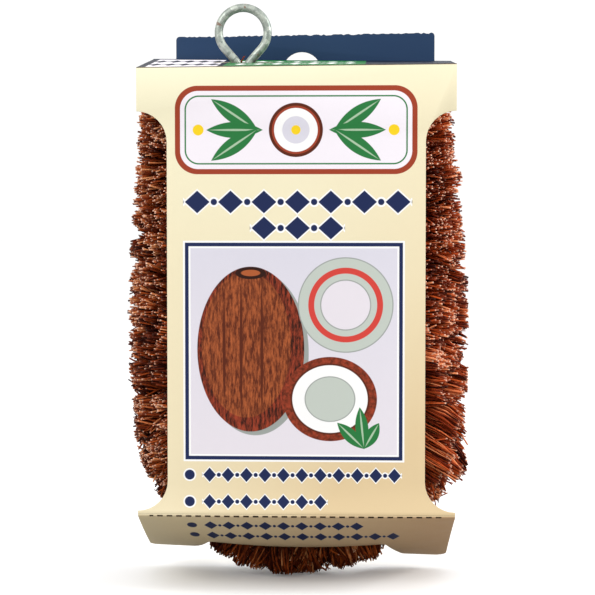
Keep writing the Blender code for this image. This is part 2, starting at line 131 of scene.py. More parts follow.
class Bench:
    """Selecting, editing and finishing of one mesh object at a time."""

    @staticmethod
    def link(name: str, data: bpy.types.ID) -> Item:
        """Add an object with its data to the scene.

        Args:
            name: The object's name.
            data: Its mesh, curve, camera or light.

        Returns:
            The new object.
        """
        item = bpy.data.objects.new(name, data)
        bpy.context.collection.objects.link(item)
        return item

    @staticmethod
    def pick(item: Item) -> None:
        """Select one object alone and make it active.

        Args:
            item: The object.
        """
        for other in bpy.context.selected_objects:
            other.select_set(False)
        item.select_set(True)
        bpy.context.view_layer.objects.active = item

    @staticmethod
    def edit(item: Item, mode: str = "FACE") -> None:
        """Open an object in edit mode with all of it selected.

        Args:
            item: The object.
            mode: What is selected: "FACE" or "EDGE".
        """
        Bench.pick(item)
        bpy.ops.object.mode_set(mode="EDIT")
        bpy.ops.mesh.select_mode(type=mode)
        bpy.ops.mesh.select_all(action="SELECT")

    @staticmethod
    def edit_some(item: Item, mode: str, test: Callable[[object], bool]) -> None:
        """Open an object in edit mode with some of its faces or edges selected.

        Args:
            item: The object.
            mode: "FACE" or "EDGE".
            test: Says whether a face or an edge is selected.
        """
        Bench.edit(item, mode)
        bpy.ops.mesh.select_all(action="DESELECT")
        Bench.close()
        for part in item.data.polygons if mode == "FACE" else item.data.edges:
            part.select = test(part)
        bpy.ops.object.mode_set(mode="EDIT")

    @staticmethod
    def close() -> None:
        """Leave edit mode."""
        bpy.ops.object.mode_set(mode="OBJECT")

    @staticmethod
    def outwards(item: Item, merge: float = 0.0) -> None:
        """Turn an object's faces outwards.

        Args:
            item: The object.
            merge: Distance under which points are merged first, if any.
        """
        Bench.edit(item)
        if merge:
            bpy.ops.mesh.remove_doubles(threshold=merge)
        bpy.ops.mesh.normals_make_consistent(inside=False)
        Bench.close()

    @staticmethod
    def smooth(item: Item, degrees: float) -> None:
        """Shade an object smooth, apart from edges past an angle."""
        Bench.pick(item)
        bpy.ops.object.shade_smooth_by_angle(angle=math.radians(degrees))

    @staticmethod
    def apply(item: Item, kind: str, **settings: object) -> None:
        """Add a modifier with settings and apply it.

        Args:
            item: The object.
            kind: Blender's modifier type.
            settings: The modifier's values.
        """
        Bench.pick(item)
        modifier = item.modifiers.new(kind.title(), kind)
        for key, value in settings.items():
            setattr(modifier, key, value)
        bpy.ops.object.modifier_apply(modifier=modifier.name)

    @staticmethod
    def points(item: Item) -> Array:
        """Read an object's vertices.

        Args:
            item: The object.

        Returns:
            One row for each vertex.
        """
        flat = np.zeros(len(item.data.vertices) * 3, np.float32)
        item.data.vertices.foreach_get("co", flat)
        return flat.reshape(-1, 3).astype(float)

    @staticmethod
    def move(item: Item, places: Array) -> None:
        """Write an object's vertices from an array of rows."""
        item.data.vertices.foreach_set("co", places.astype(np.float32).ravel())
        item.data.update()

    @staticmethod
    def paint(item: Item, finishes: Sequence[Material],
              choose: Optional[Callable[[Face], int]] = None) -> None:
        """Give an object its finishes and choose one for each face.

        Args:
            item: The object.
            finishes: The materials, in slot order.
            choose: Returns the slot of a face, or None for the first slot all over.
        """
        item.data.materials.clear()
        for finish in finishes:
            item.data.materials.append(finish)
        if choose:
            for face in item.data.polygons:
                face.material_index = choose(face)

    @staticmethod
    def seat(item: Item, body: Body, slot: Slot, node: str) -> None:
        """Let a piece ride on a body, in place of a CAD node.

        Args:
            item: The piece.
            body: The body that it rides on.
            slot: Not used; the record's slot for its finish.
            node: The CAD node that it stands for.
        """
        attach(item, body.value)
        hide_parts(node)
        LOG.info("%s: %d faces on %s", item.name, len(item.data.polygons), body.value)


class Graph:
    """A node tree under construction, with short calls for the nodes in use here."""

    def __init__(self, tree: bpy.types.NodeTree) -> None:
        """Start on a tree."""
        self.tree = tree

    def feed(self, socket: Socket, value: object) -> None:
        """Link a socket or set its value.

        Args:
            socket: The input socket.
            value: Another socket, a colour or a number.
        """
        if isinstance(value, Socket):
            self.tree.links.new(value, socket)
        elif isinstance(value, tuple) and len(value) == 3 and socket.type == "RGBA":
            socket.default_value = (*value, 1.0)
        else:
            socket.default_value = value

    def node(self, kind: str, inputs: Optional[dict] = None, **settings: object) -> Node:
        """Add a node, set its properties and feed its inputs.

        Args:
            kind: Blender's node type.
            inputs: Values or sockets by the inputs' names or numbers.
            settings: The node's properties.

        Returns:
            The new node.
        """
        made = self.tree.nodes.new(kind)
        for key, value in settings.items():
            setattr(made, key, value)
        for name, value in (inputs or {}).items():
            self.feed(made.inputs[name], value)
        return made

    def math(self, operation: str, *values: object) -> Socket:
        """Add a maths node on its values."""
        return self.node("ShaderNodeMath", dict(enumerate(values)), operation=operation).outputs[0]

    def total(self, *terms: tuple) -> Socket:
        """Add up values, each times its factor.

        Args:
            terms: Pairs of a value and its factor.

        Returns:
            The sum.
        """
        result = None
        for value, factor in terms:
            scaled = value if factor == 1.0 else self.math("MULTIPLY", value, factor)
            result = scaled if result is None else self.math("ADD", result, scaled)
        return result

    def mix(self, share: object, first: object, second: object, blend: str = "MIX") -> Socket:
        """Mix two colours by a share."""
        inputs = {"Factor": share, 6: first, 7: second}
        return self.node("ShaderNodeMix", inputs, data_type="RGBA", blend_type=blend).outputs[2]

    def noise(self, where: object, scale: object, detail: float = 2.0, roughness: float = 0.5) -> Socket:
        """Add a noise texture and return its value."""
        inputs = {"Vector": where, "Scale": scale, "Detail": detail, "Roughness": roughness}
        return self.node("ShaderNodeTexNoise", inputs).outputs["Fac"]

    def ramp(self, value: object, low: object, high: object, to_low: float = 0.0,
             to_high: float = 1.0) -> Socket:
        """Map a value from one range to another, clamped."""
        inputs = {"Value": value, "From Min": low, "From Max": high, "To Min": to_low, "To Max": to_high}
        return self.node("ShaderNodeMapRange", inputs).outputs[0]

    def axis(self, where: object, name: str) -> Socket:
        """One coordinate, X, Y or Z, of a point."""
        return self.node("ShaderNodeSeparateXYZ", {0: where}).outputs[name]

    def call(self, group: type["SharedGroup"], **values: object) -> Node:
        """Place a shared group, with spaces in its inputs' names written as underscores."""
        inputs = {name.replace("_", " "): value for name, value in values.items()}
        return self.node("ShaderNodeGroup", inputs, node_tree=group.tree())


class SharedGroup:
    """A shader node group that several materials share. Every group takes a point, Where, and numbers."""

    title: str
    takes: tuple[str, ...]
    gives: tuple[str, ...] = ("Mask",)
    trees: dict[str, bpy.types.NodeTree] = {}

    def __init__(self, graph: Graph, given: dict[str, Socket]) -> None:
        """Start on the group's graph, with its input sockets by name."""
        self.graph, self.given = graph, given

    @classmethod
    def tree(cls) -> bpy.types.NodeTree:
        """Return the group's tree, building it the first time.

        Returns:
            The shader node group.
        """
        if cls.title not in cls.trees:
            made = bpy.data.node_groups.new(cls.title, "ShaderNodeTree")
            made.interface.new_socket(name="Where", in_out="INPUT", socket_type="NodeSocketVector")
            for way, labels in (("INPUT", cls.takes), ("OUTPUT", cls.gives)):
                for label in labels:
                    made.interface.new_socket(name=label, in_out=way, socket_type="NodeSocketFloat")
            graph = Graph(made)
            entry = graph.node("NodeGroupInput")
            given = {socket.name: socket for socket in entry.outputs if socket.name}
            graph.node("NodeGroupOutput", cls(graph, given).fill())
            cls.trees[cls.title] = made
        return cls.trees[cls.title]

    def fill(self) -> dict[str, Socket]:
        """Lay the group's nodes. Each group has its own."""
        raise NotImplementedError

    def offset(self, axis: str) -> Socket:
        """Distance of the point from a centre on the card's face, along X or Z."""
        where = self.graph.axis(self.given["Where"], axis)
        return self.graph.math("SUBTRACT", where, self.given["Centre " + axis])


class PrintedBox(SharedGroup):
    """Mask of a printed rounded box."""

    title = "PrintedBox"
    takes = ("Centre X", "Centre Z", "Half Width", "Half Height", "Corner", "Bleed")

    def fill(self) -> dict[str, Socket]:
        """Lay the distance to a rounded box's edge.

        Returns:
            Outputs by name.
        """
        graph, given = self.graph, self.given
        across, up = self.offset("X"), self.offset("Z")
        past = []
        for offset, half in ((across, given["Half Width"]), (up, given["Half Height"])):
            inner = graph.math("SUBTRACT", half, given["Corner"])
            past.append(graph.math("SUBTRACT", graph.math("ABSOLUTE", offset), inner))
        outside = [graph.math("MAXIMUM", side, 0.0) for side in past]
        squares = [graph.math("MULTIPLY", side, side) for side in outside]
        away = graph.math("SQRT", graph.math("ADD", squares[0], squares[1]))
        inside = graph.math("MINIMUM", graph.math("MAXIMUM", past[0], past[1]), 0.0)
        edge = graph.math("SUBTRACT", graph.math("ADD", away, inside), given["Corner"])
        return {"Mask": graph.ramp(edge, given["Bleed"], 0.0)}


class PrintedOval(SharedGroup):
    """Mask of a printed ellipse, turned about its centre, with pointed ends if asked."""

    title = "PrintedOval"
    takes = ("Centre X", "Centre Z", "Half Length", "Half Breadth", "Turn", "Point", "Bleed")

    def fill(self) -> dict[str, Socket]:
        """Lay the distance to an ellipse's edge, between a round one and a pointed one.

        Returns:
            Outputs by name.
        """
        graph, given = self.graph, self.given
        across, up = self.offset("X"), self.offset("Z")
        cosine = graph.math("COSINE", given["Turn"])
        sine = graph.math("SINE", given["Turn"])
        along = graph.math("MULTIPLY", up, sine)
        along = graph.math("ADD", graph.math("MULTIPLY", across, cosine), along)
        beside = graph.math("MULTIPLY", across, sine)
        beside = graph.math("SUBTRACT", graph.math("MULTIPLY", up, cosine), beside)
        share = graph.math("ABSOLUTE", graph.math("DIVIDE", along, given["Half Length"]))
        side = graph.math("ABSOLUTE", graph.math("DIVIDE", beside, given["Half Breadth"]))
        share_squared = graph.math("MULTIPLY", share, share)
        rounded = graph.math("SQRT", graph.math("ADD", share_squared, graph.math("MULTIPLY", side, side)))
        pointed = graph.math("ADD", side, share_squared)
        blend = graph.math("ADD", graph.math("MULTIPLY", pointed, given["Point"]),
                           graph.math("MULTIPLY", rounded, graph.math("SUBTRACT", 1.0, given["Point"])))
        edge = graph.math("MULTIPLY", graph.math("SUBTRACT", blend, 1.0), given["Half Breadth"])
        return {"Mask": graph.ramp(edge, given["Bleed"], 0.0)}


class PrintedChain(SharedGroup):
    """Mask of a row of lozenges at an even pitch, with a smaller bead between each two."""

    title = "PrintedChain"
    takes = ("Centre X", "Centre Z", "Half Width", "Pitch", "Half Length", "Half Breadth", "Bead", "Halo",
             "Bleed")

    def fill(self) -> dict[str, Socket]:
        """Lay the distance to the nearest lozenge or bead.

        Returns:
            Outputs by name.
        """
        graph, given = self.graph, self.given
        across, up = self.offset("X"), self.offset("Z")
        inside = graph.math("LESS_THAN", graph.math("ABSOLUTE", across), given["Half Width"])
        half_pitch = graph.math("MULTIPLY", given["Pitch"], 0.5)
        local = graph.math("PINGPONG", across, half_pitch)
        tall = graph.math("DIVIDE", graph.math("ABSOLUTE", up), given["Half Breadth"])
        share = graph.math("DIVIDE", local, given["Half Length"])
        lozenge = graph.math("SUBTRACT", graph.math("ADD", share, tall), 1.0)
        lozenge = graph.math("MULTIPLY", lozenge, given["Half Breadth"])
        from_bead = graph.math("SUBTRACT", half_pitch, local)
        squares = [graph.math("MULTIPLY", side, side) for side in (from_bead, up)]
        away = graph.math("SQRT", graph.math("ADD", squares[0], squares[1]))
        bead = graph.math("SUBTRACT", away, given["Bead"])
        edge = graph.math("SUBTRACT", graph.math("MINIMUM", lozenge, bead), given["Halo"])
        return {"Mask": graph.math("MULTIPLY", graph.ramp(edge, given["Bleed"], 0.0), inside)}


class CardGrain(SharedGroup):
    """Fine fibre of pressed card: a tint round one and a height."""

    title = "CardGrain"
    takes = ("Amount",)
    gives = ("Tint", "Height")

    def fill(self) -> dict[str, Socket]:
        """Lay three sizes of noise, from single fibres to clouds.

        Returns:
            Outputs by name.
        """
        graph, given = self.graph, self.given
        fine = graph.noise(given["Where"], 3800.0, 3.0, 0.6)
        coarse = graph.noise(given["Where"], 420.0)
        cloud = graph.noise(given["Where"], 45.0)
        centred = graph.math("SUBTRACT", graph.total((fine, 0.5), (coarse, 0.3), (cloud, 0.4)), 0.6)
        tint = graph.math("ADD", 1.0, graph.math("MULTIPLY", centred, given["Amount"]))
        return {"Tint": tint, "Height": graph.total((fine, 0.6), (coarse, 0.4))}


class Specks(SharedGroup):
    """Sparse specks: a mask that is one inside small blots."""

    title = "Specks"
    takes = ("Scale", "Threshold")

    def fill(self) -> dict[str, Socket]:
        """Lay a noise that is cut off at a threshold.

        Returns:
            Outputs by name.
        """
        graph, given = self.graph, self.given
        blot = graph.noise(given["Where"], given["Scale"], 4.0)
        low = graph.math("SUBTRACT", given["Threshold"], 0.03)
        return {"Mask": graph.ramp(blot, low, given["Threshold"])}


@dataclass(frozen=True)
class Ink:
    """Colours of the print, as linear light."""

    cream: Colour = srgb(248, 243, 212)
    cream_low: Colour = srgb(226, 202, 160)
    # painted shade: the flap's khaki is in part, and its deeper right-hand tone wholly, the shade that the
    # downward-facing flap lies in
    khaki: Colour = srgb(232, 216, 178)
    khaki_painted_shade: Colour = srgb(200, 164, 126)
    navy: Colour = srgb(33, 58, 90)
    deep_navy: Colour = srgb(16, 26, 46)
    deep_navy_side: Colour = srgb(18, 30, 54)
    title: Colour = srgb(30, 42, 84)
    russet: Colour = srgb(160, 64, 40)
    lilac_white: Colour = srgb(246, 240, 248)
    lilac_grey: Colour = srgb(220, 218, 230)
    lilac_pale: Colour = srgb(232, 226, 234)
    pewter: Colour = srgb(158, 164, 160)
    green: Colour = srgb(42, 122, 64)
    pale_green: Colour = srgb(172, 200, 170)
    grey_green: Colour = srgb(196, 204, 196)
    yellow: Colour = srgb(250, 214, 36)
    red: Colour = srgb(214, 70, 62)
    white: Colour = srgb(252, 252, 252)
    brown: Colour = srgb(92, 38, 20)
    dark_brown: Colour = srgb(48, 20, 12)
    coir: Colour = srgb(176, 92, 50)


INK = Ink()


@dataclass
class Coat:
    """A finish under construction: its graph, its shader and the coordinates of its patterns."""

    graph: Graph
    shader: Node
    where: Socket

    def feed(self, name: str, value: object) -> None:
        """Feed one of the shader's inputs."""
        self.graph.feed(self.shader.inputs[name], value)

    def bump(self, height: object, depth: float) -> None:
        """Feed the shader's normal from a height, of which one stands for a depth in metres."""
        made = self.graph.node("ShaderNodeBump", {"Strength": 1.0, "Distance": depth, "Height": height})
        self.feed("Normal", made.outputs[0])


@dataclass(frozen=True)
class Finish:
    """Base of every finish: a name, the shader's plain values and a pattern."""

    name: str
    roughness: float = 0.5
    metallic: float = 0.0
    specular: float = 0.5

    def make(self) -> Material:
        """Build the material.

        Returns:
            The new material, fed by its own pattern.
        """
        made = bpy.data.materials.new(self.name)
        made.use_nodes = True
        graph = Graph(made.node_tree)
        where = graph.node("ShaderNodeTexCoord").outputs["Object"]
        coat = Coat(graph, made.node_tree.nodes["Principled BSDF"], where)
        coat.feed("Roughness", self.roughness)
        coat.feed("Metallic", self.metallic)
        coat.feed("Specular IOR Level", self.specular)
        self.pattern(coat)
        return made

    def pattern(self, coat: Coat) -> None:
        """Feed the shader. Each finish has its own."""
        raise NotImplementedError


@dataclass(frozen=True)
class Chain:
    """Sizes of a printed row of lozenges with a bead between each two."""

    lozenge: tuple[float, float]
    pitch: float
    bead: float
    halo: float = 0.0


@dataclass
class Press:
    """Lays inks on a card, each over what was laid before. Places are across and up, in metres."""

    graph: Graph
    where: Socket
    colour: Socket
    bleed: float

    def lay(self, group: type[SharedGroup], ink: object, centre: tuple, **shape: float) -> None:
        """Print a shape that a shared group masks, from its centre and the group's other values."""
        mask = self.graph.call(group, Where=self.where, Centre_X=centre[0], Centre_Z=centre[1],
                               Bleed=self.bleed, **shape)
        self.colour = self.graph.mix(mask.outputs["Mask"], self.colour, ink)

    def box(self, ink: object, centre: tuple, half: tuple, corner: float = 0.0) -> None:
        """Print a box of half a width and height, with a corner radius."""
        self.lay(PrintedBox, ink, centre, Half_Width=half[0], Half_Height=half[1], Corner=corner)

    def oval(self, ink: object, centre: tuple, half: tuple, turn: float = 0.0, point: float = 0.0) -> None:
        """Print an ellipse of half a length and breadth, turned by degrees, pointed if point is 1."""
        self.lay(PrintedOval, ink, centre, Half_Length=half[0], Half_Breadth=half[1],
                 Turn=math.radians(turn), Point=point)

    def rings(self, centre: tuple, rings: Sequence[tuple], flat: float = 1.0) -> None:
        """Print discs one in another, the largest first, each a radius and an ink."""
        for radius, ink in rings:
            self.oval(ink, centre, (radius, radius * flat))

    def leaf(self, centre: tuple, half: tuple, vein: tuple, turn: float) -> None:
        """Print a pointed green leaf with a pale vein."""
        self.oval(INK.green, centre, half, turn, 1.0)
        self.oval(INK.pale_green, centre, vein, turn, 1.0)

    def chain(self, ink: object, centre: tuple, count: int, chain: Chain) -> None:
        """Print a row of lozenges and beads, with a white line round them.

        Args:
            ink: Colour of the row.
            centre: Its centre.
            count: Lozenges on each side of the middle one.
            chain: Its sizes.
        """
        length, breadth = chain.lozenge
        half = count * chain.pitch + length + chain.halo
        for grown, colour in ((chain.halo, INK.white), (0.0, ink)):
            self.lay(PrintedChain, colour, centre, Half_Width=half, Pitch=chain.pitch, Half_Length=length,
                     Half_Breadth=breadth, Bead=chain.bead, Halo=grown)

    def bullets(self, start: tuple, heights: tuple, counts: tuple, dots: tuple, chain: Chain) -> None:
        """Print rows that start with a dot, each with a chain beside it.

        Args:
            start: Places across of the dots and of the chains' first lozenges.
            heights: Height of each row.
            counts: Half of each row's lozenges.
            dots: The dot's ovals, each half a length and breadth, and an ink.
            chain: Sizes of the chains.
        """
        for z, count in zip(heights, counts):
            for half, ink in dots:
                self.oval(ink, (start[0], z), half)
            self.chain(INK.title, (start[1] + count * chain.pitch, z), count, chain)


@dataclass(frozen=True)
class Printed(Finish):
    """Satin print on coated card. A subclass lays its inks over the ground."""

    roughness: float = 0.5
    specular: float = 0.16
    bottom_z: float = -0.125
    half_width: float = 0.043
    bleed: float = 0.00012
    grain: float = 0.05
    grain_depth: float = 0.00001

    def ground(self, graph: Graph, where: Socket) -> Socket:
        """Cream ground that darkens towards the bottom, with painted shade that deepens it to the right,
        most at the lower right.

        Args:
            graph: The material's graph.
            where: Object coordinates.

        Returns:
            The ground's colour.
        """
        across = graph.axis(where, "X")
        height = graph.axis(where, "Z")
        middle = self.bottom_z * 0.45
        down = graph.ramp(height, 0.0, middle, 0.0, 0.32)
        low = graph.ramp(height, middle, self.bottom_z * 0.95)
        # painted shade: the ground deepens to the right, low down and over the whole height, where the
        # light falls off
        right = graph.ramp(across, -self.half_width * 0.8, self.half_width * 0.3, 0.15, 0.65)
        side = graph.ramp(across, 0.0, self.half_width * 0.8, 0.03, 0.22)
        share = graph.math("ADD", graph.math("ADD", down, side), graph.math("MULTIPLY", low, right))
        return graph.mix(share, INK.cream, INK.cream_low)

    def inks(self, press: Press) -> None:
        """Lay the inks over the ground. Each print has its own."""
        raise NotImplementedError

    def pattern(self, coat: Coat) -> None:
        """Ground, inks, grain and a satin sheen.

        Args:
            coat: The finish to feed.
        """
        graph, where = coat.graph, coat.where
        press = Press(graph, where, self.ground(graph, where), self.bleed)
        self.inks(press)
        grain = graph.call(CardGrain, Where=where, Amount=self.grain)
        inputs = {0: press.colour, "Scale": grain.outputs["Tint"]}
        tinted = graph.node("ShaderNodeVectorMath", inputs, operation="SCALE")
        coat.feed("Base Color", tinted.outputs[0])
        patchy = graph.noise(where, 180.0)
        rough = graph.ramp(patchy, 0.3, 0.7, self.roughness - 0.06, self.roughness + 0.06)
        coat.feed("Roughness", rough)
        coat.bump(grain.outputs["Height"], self.grain_depth)


@dataclass(frozen=True)
class FrontPrint(Printed):
    """Front panel's print: a plaque, two rows of lozenges, a framed picture and small chains."""

    name: str = "front_print"
    plaque_centre: tuple = (0.0, -0.0184)
    plaque_half: tuple = (0.0325, 0.0118)
    plaque_rims: tuple = ((0.0, 0.006, INK.russet), (0.0014, 0.0048, INK.lilac_white),
                          (0.0026, 0.0038, INK.green), (0.003, 0.0034, INK.lilac_white))
    palm_x: float = 0.0165
    palm_step: float = 0.0040
    palm_turn: float = 34.0
    palm: tuple = (0.0075, 0.0021)
    palm_vein: tuple = (0.0062, 0.00022)
    berry_x: float = 0.0263
    berry: float = 0.0014
    plaque_nut: tuple = ((0.0072, INK.brown), (0.0064, INK.russet), (0.0058, INK.white),
                         (0.0036, INK.lilac_grey), (0.0012, INK.yellow))
    band_x: float = 0.0004
    band_z: tuple = (-0.0377, -0.0447)
    band_counts: tuple = (3, 1)
    band_chain: Chain = Chain((0.0033, 0.0030), 0.0090, 0.0008, 0.0005)
    tile_centre: tuple = (-0.0006, -0.0780)
    tile_half: float = 0.0293
    frame_line: float = 0.0010
    white_line: float = 0.0005
    husk_place: tuple = (-0.0116, 0.0006)
    husk_stretch: tuple = (1.0, 1.0, 0.2)
    husk_edge: tuple = (0.0222, 0.0144)
    husk_face: tuple = (0.0196, 0.0120)
    husk_light: tuple = (-0.0012, 0.0012)
    husk_shade: tuple = (0.0012, -0.0010)
    husk_ridges: tuple = ((-0.0072, 0.0138), (-0.0026, 0.0180), (0.0030, 0.0176))
    ridge_half: float = 0.00035
    cap_place: tuple = (0.0, 0.0206)
    cap: tuple = (0.0040, 0.0016)
    cap_face: tuple = (0.0024, 0.0008)
    saucer_place: tuple = (0.0140, 0.0126)
    saucer_rings: tuple = ((0.0128, INK.pewter), (0.0125, INK.grey_green), (0.0100, INK.red),
                           (0.0084, INK.grey_green), (0.0068, INK.pewter), (0.0065, INK.lilac_pale))
    nut_place: tuple = (0.0098, -0.0128)
    nut_shell: float = 0.0126
    nut_rings: tuple = ((0.0106, INK.brown), (0.0101, INK.white), (0.0068, INK.pewter),
                        (0.0065, INK.grey_green))
    nut_flat: float = 0.9
    sprig_place: tuple = (0.0190, -0.0262)
    sprig_leaves: tuple = ((0.0040, 60), (0.0056, 96), (0.0050, 136))
    sprig_half: float = 0.0017
    sprig_vein: tuple = (0.8, 0.0002)
    line_x: tuple = (-0.0288, -0.0234)
    line_z: tuple = (-0.1115, -0.1188)
    line_counts: tuple = (5, 3)
    line_dots: tuple = (((0.0017, 0.0017), INK.white), ((0.0013, 0.0013), INK.title))
    line_chain: Chain = Chain((0.0017, 0.0019), 0.0050, 0.0005, 0.00035)

    def inks(self, press: Press) -> None:
        """Lay the plaque, the rows, the picture and the chains."""
        for part in (self.plaque, self.band, self.picture, self.lines):
            part(press)

    def plaque(self, press: Press) -> None:
        """Rounded plaque with a halved coconut between palm leaves.

        Args:
            press: Lays the inks.
        """
        x, z = self.plaque_centre
        wide, tall = self.plaque_half
        for inset, corner, ink in self.plaque_rims:
            press.box(ink, (x, z), (wide - inset, tall - inset), corner)
        for side in (-1, 1):
            for step in (1, 0, -1):
                place = (x + side * self.palm_x, z + step * self.palm_step)
                press.leaf(place, self.palm, self.palm_vein, side * step * self.palm_turn)
            press.oval(INK.yellow, (x + side * self.berry_x, z), (self.berry, self.berry))
        press.rings((x, z), self.plaque_nut)

    def band(self, press: Press) -> None:
        """Two rows of navy lozenges, the lower one shorter."""
        for z, count in zip(self.band_z, self.band_counts):
            press.chain(INK.title, (self.band_x, z), count, self.band_chain)

    def picture(self, press: Press) -> None:
        """Navy frame round a husk, a striped saucer, a halved coconut and leaves on a pale ground.

        Args:
            press: Lays the inks.
        """
        z = self.tile_centre[1]
        half = self.tile_half
        inner = half - self.frame_line
        shade = press.graph.ramp(press.graph.axis(press.where, "Z"), z - half, z + half)
        ground = press.graph.mix(shade, INK.lilac_pale, INK.lilac_grey)
        boxes = ((half + self.white_line, INK.white), (half, INK.title), (inner, INK.white),
                 (inner - self.white_line, ground))
        for reach, ink in boxes:
            press.box(ink, self.tile_centre, (reach, reach))
        for part in (self.husk, self.saucer, self.nut, self.sprig):
            part(press)

    def husk(self, press: Press) -> None:
        """Whole coconut in its husk on the left, streaked and darker round its edge.

        Args:
            press: Lays the inks.
        """
        place = shifted(self.tile_centre, self.husk_place)
        graph = press.graph
        streaks = graph.node("ShaderNodeMapping", {"Vector": press.where, "Scale": self.husk_stretch})
        share = graph.ramp(graph.noise(streaks.outputs[0], 1700.0, 4.0, 0.75), 0.4, 0.62)
        press.oval(INK.pewter, shifted(place, self.husk_shade), self.husk_edge, 90.0)
        press.oval(graph.mix(share, INK.dark_brown, INK.russet), place, self.husk_edge, 90.0)
        hair = graph.mix(share, INK.brown, INK.coir)
        press.oval(hair, shifted(place, self.husk_light), self.husk_face, 90.0)
        for across, reach in self.husk_ridges:
            press.oval(INK.brown, shifted(place, (across, 0.0)), (reach, self.ridge_half), 90.0, 1.0)
        press.oval(INK.dark_brown, shifted(place, self.cap_place), self.cap)
        press.oval(INK.coir, shifted(place, self.cap_place), self.cap_face)

    def saucer(self, press: Press) -> None:
        """Round saucer with a red ring, high on the right."""
        press.rings(shifted(self.tile_centre, self.saucer_place), self.saucer_rings)

    def nut(self, press: Press) -> None:
        """Halved coconut, low on the right, its shell drawn with short strokes.

        Args:
            press: Lays the inks.
        """
        strokes = press.graph.ramp(press.graph.noise(press.where, 900.0, 3.0, 0.6), 0.35, 0.65)
        shell = press.graph.mix(strokes, INK.brown, INK.russet)
        rings = ((self.nut_shell, shell), *self.nut_rings)
        press.rings(shifted(self.tile_centre, self.nut_place), rings, self.nut_flat)

    def sprig(self, press: Press) -> None:
        """Green leaves at the halved coconut's right.

        Args:
            press: Lays the inks.
        """
        root = shifted(self.tile_centre, self.sprig_place)
        for reach, turn in self.sprig_leaves:
            angle = math.radians(turn)
            place = shifted(root, (reach * math.cos(angle), reach * math.sin(angle)))
            share, vein = self.sprig_vein
            press.leaf(place, (reach, self.sprig_half), (reach * share, vein), turn)

    def lines(self, press: Press) -> None:
        """Dots and small chains below the picture."""
        press.bullets(self.line_x, self.line_z, self.line_counts, self.line_dots, self.line_chain)


@dataclass(frozen=True)
class FlapPrint(Printed):
    """Base flap's print: dots and small chains on a khaki ground, its tan in part painted shade and its
    deepening to the right painted shade.
    """

    name: str = "flap_print"
    line_x: tuple = (-0.0288, -0.0236)
    line_z: tuple = (-0.1262, -0.1302)
    line_counts: tuple = (4, 5)
    line_dots: tuple = (((0.0013, 0.0009), INK.title),)
    line_chain: Chain = Chain((0.0018, 0.0014), 0.0050, 0.0004)

    def ground(self, graph: Graph, where: Socket) -> Socket:
        """Tan ground, in part painted shade, deepened to the right by painted shade."""
        across = graph.ramp(graph.axis(where, "X"), -self.half_width, self.half_width)
        return graph.mix(across, INK.khaki, INK.khaki_painted_shade)

    def inks(self, press: Press) -> None:
        """Two rows, each a dot and a small chain."""
        press.bullets(self.line_x, self.line_z, self.line_counts, self.line_dots, self.line_chain)


@dataclass(frozen=True)
class TopPrint(Printed):
    """Top panel's print: navy with a white box and a green strip, both with small chains."""

    name: str = "top_print"
    middle_y: float = -0.0197
    half_depth: float = 0.0172
    corner: float = 0.0006
    row: float = 0.0072
    box_x: float = -0.0312
    box_half: float = 0.0096
    box_count: int = 2
    box_chain: Chain = Chain((0.0018, 0.0052), 0.0040, 0.0010)
    strip_x: float = -0.0007
    strip_half: float = 0.0192
    strip_count: int = 3
    strip_chain: Chain = Chain((0.0017, 0.0042), 0.0050, 0.0007)

    def pattern(self, coat: Coat) -> None:
        """Lay the panel's print out by depth instead of height."""
        inputs = {"Vector": coat.where, "Rotation": (math.radians(90), 0, 0)}
        super().pattern(replace(coat, where=coat.graph.node("ShaderNodeMapping", inputs).outputs[0]))

    def ground(self, graph: Graph, where: Socket) -> Socket:
        """Navy ground all over, deepest at the sides."""
        across = graph.ramp(graph.axis(where, "X"), 0.0, self.half_width)
        return graph.mix(across, INK.deep_navy, INK.deep_navy_side)

    def inks(self, press: Press) -> None:
        """White box on the left, green strip in the middle.

        Args:
            press: Lays the inks.
        """
        middle = self.middle_y
        press.box(INK.lilac_white, (self.box_x, middle), (self.box_half, self.half_depth), self.corner)
        press.box(INK.green, (self.strip_x, middle), (self.strip_half, self.half_depth), self.corner)
        for y in (middle - self.row, middle + self.row):
            press.chain(INK.white, (self.strip_x, y), self.strip_count, self.strip_chain)
            press.chain(INK.deep_navy, (self.box_x, y), self.box_count, self.box_chain)


@dataclass(frozen=True)
class BackPrint(Printed):
    """Back panel's print: navy header on both sides, ruled box and a leaf motif on the back."""

    name: str = "back_print"
    header_z: float = 0.0028
    header_half: float = 0.05
    box_centre: tuple = (0.0, -0.045)
    box_rims: tuple = (((0.029, 0.0225), 0.0016, INK.title), ((0.0284, 0.0219), 0.0012, INK.lilac_white))
    rule_count: int = 6
    rule_z: float = -0.0305
    rule_pitch: float = 0.0058
    rule_x: float = 0.0005
    rule: tuple = (0.0226, 0.0005)
    rule_corner: float = 0.0004
    rule_step: float = 0.0018
    dot_x: float = 0.0252
    dot: tuple = (0.0008, 0.0008)
    motif_z: float = -0.098
    leaf_x: float = 0.009
    leaf_half: tuple = (0.010, 0.0026)
    leaf_turn: float = 30.0
    motif_rings: tuple = ((0.0085, INK.russet), (0.0072, INK.lilac_white), (0.0046, INK.pale_green))

    def inks(self, press: Press) -> None:
        """Header, a box of rules and leaves round a disc.

        Args:
            press: Lays the inks.
        """
        half = self.header_half
        press.box(INK.navy, (0.0, self.header_z + half), (half, half))
        for reach, corner, ink in self.box_rims:
            press.box(ink, self.box_centre, reach, corner)
        for i in range(self.rule_count):
            z = self.rule_z - i * self.rule_pitch
            shorter = (i % 3) * self.rule_step
            press.oval(INK.title, (self.dot_x, z), self.dot)
            press.box(INK.title, (self.rule_x + shorter, z), (self.rule[0] - shorter, self.rule[1]),
                      self.rule_corner)
        for side in (-1, 1):
            for turn in (self.leaf_turn, -self.leaf_turn):
                place = (side * self.leaf_x, self.motif_z)
                press.oval(INK.green, place, self.leaf_half, turn * side, 1.0)
        press.rings((0.0, self.motif_z), self.motif_rings)


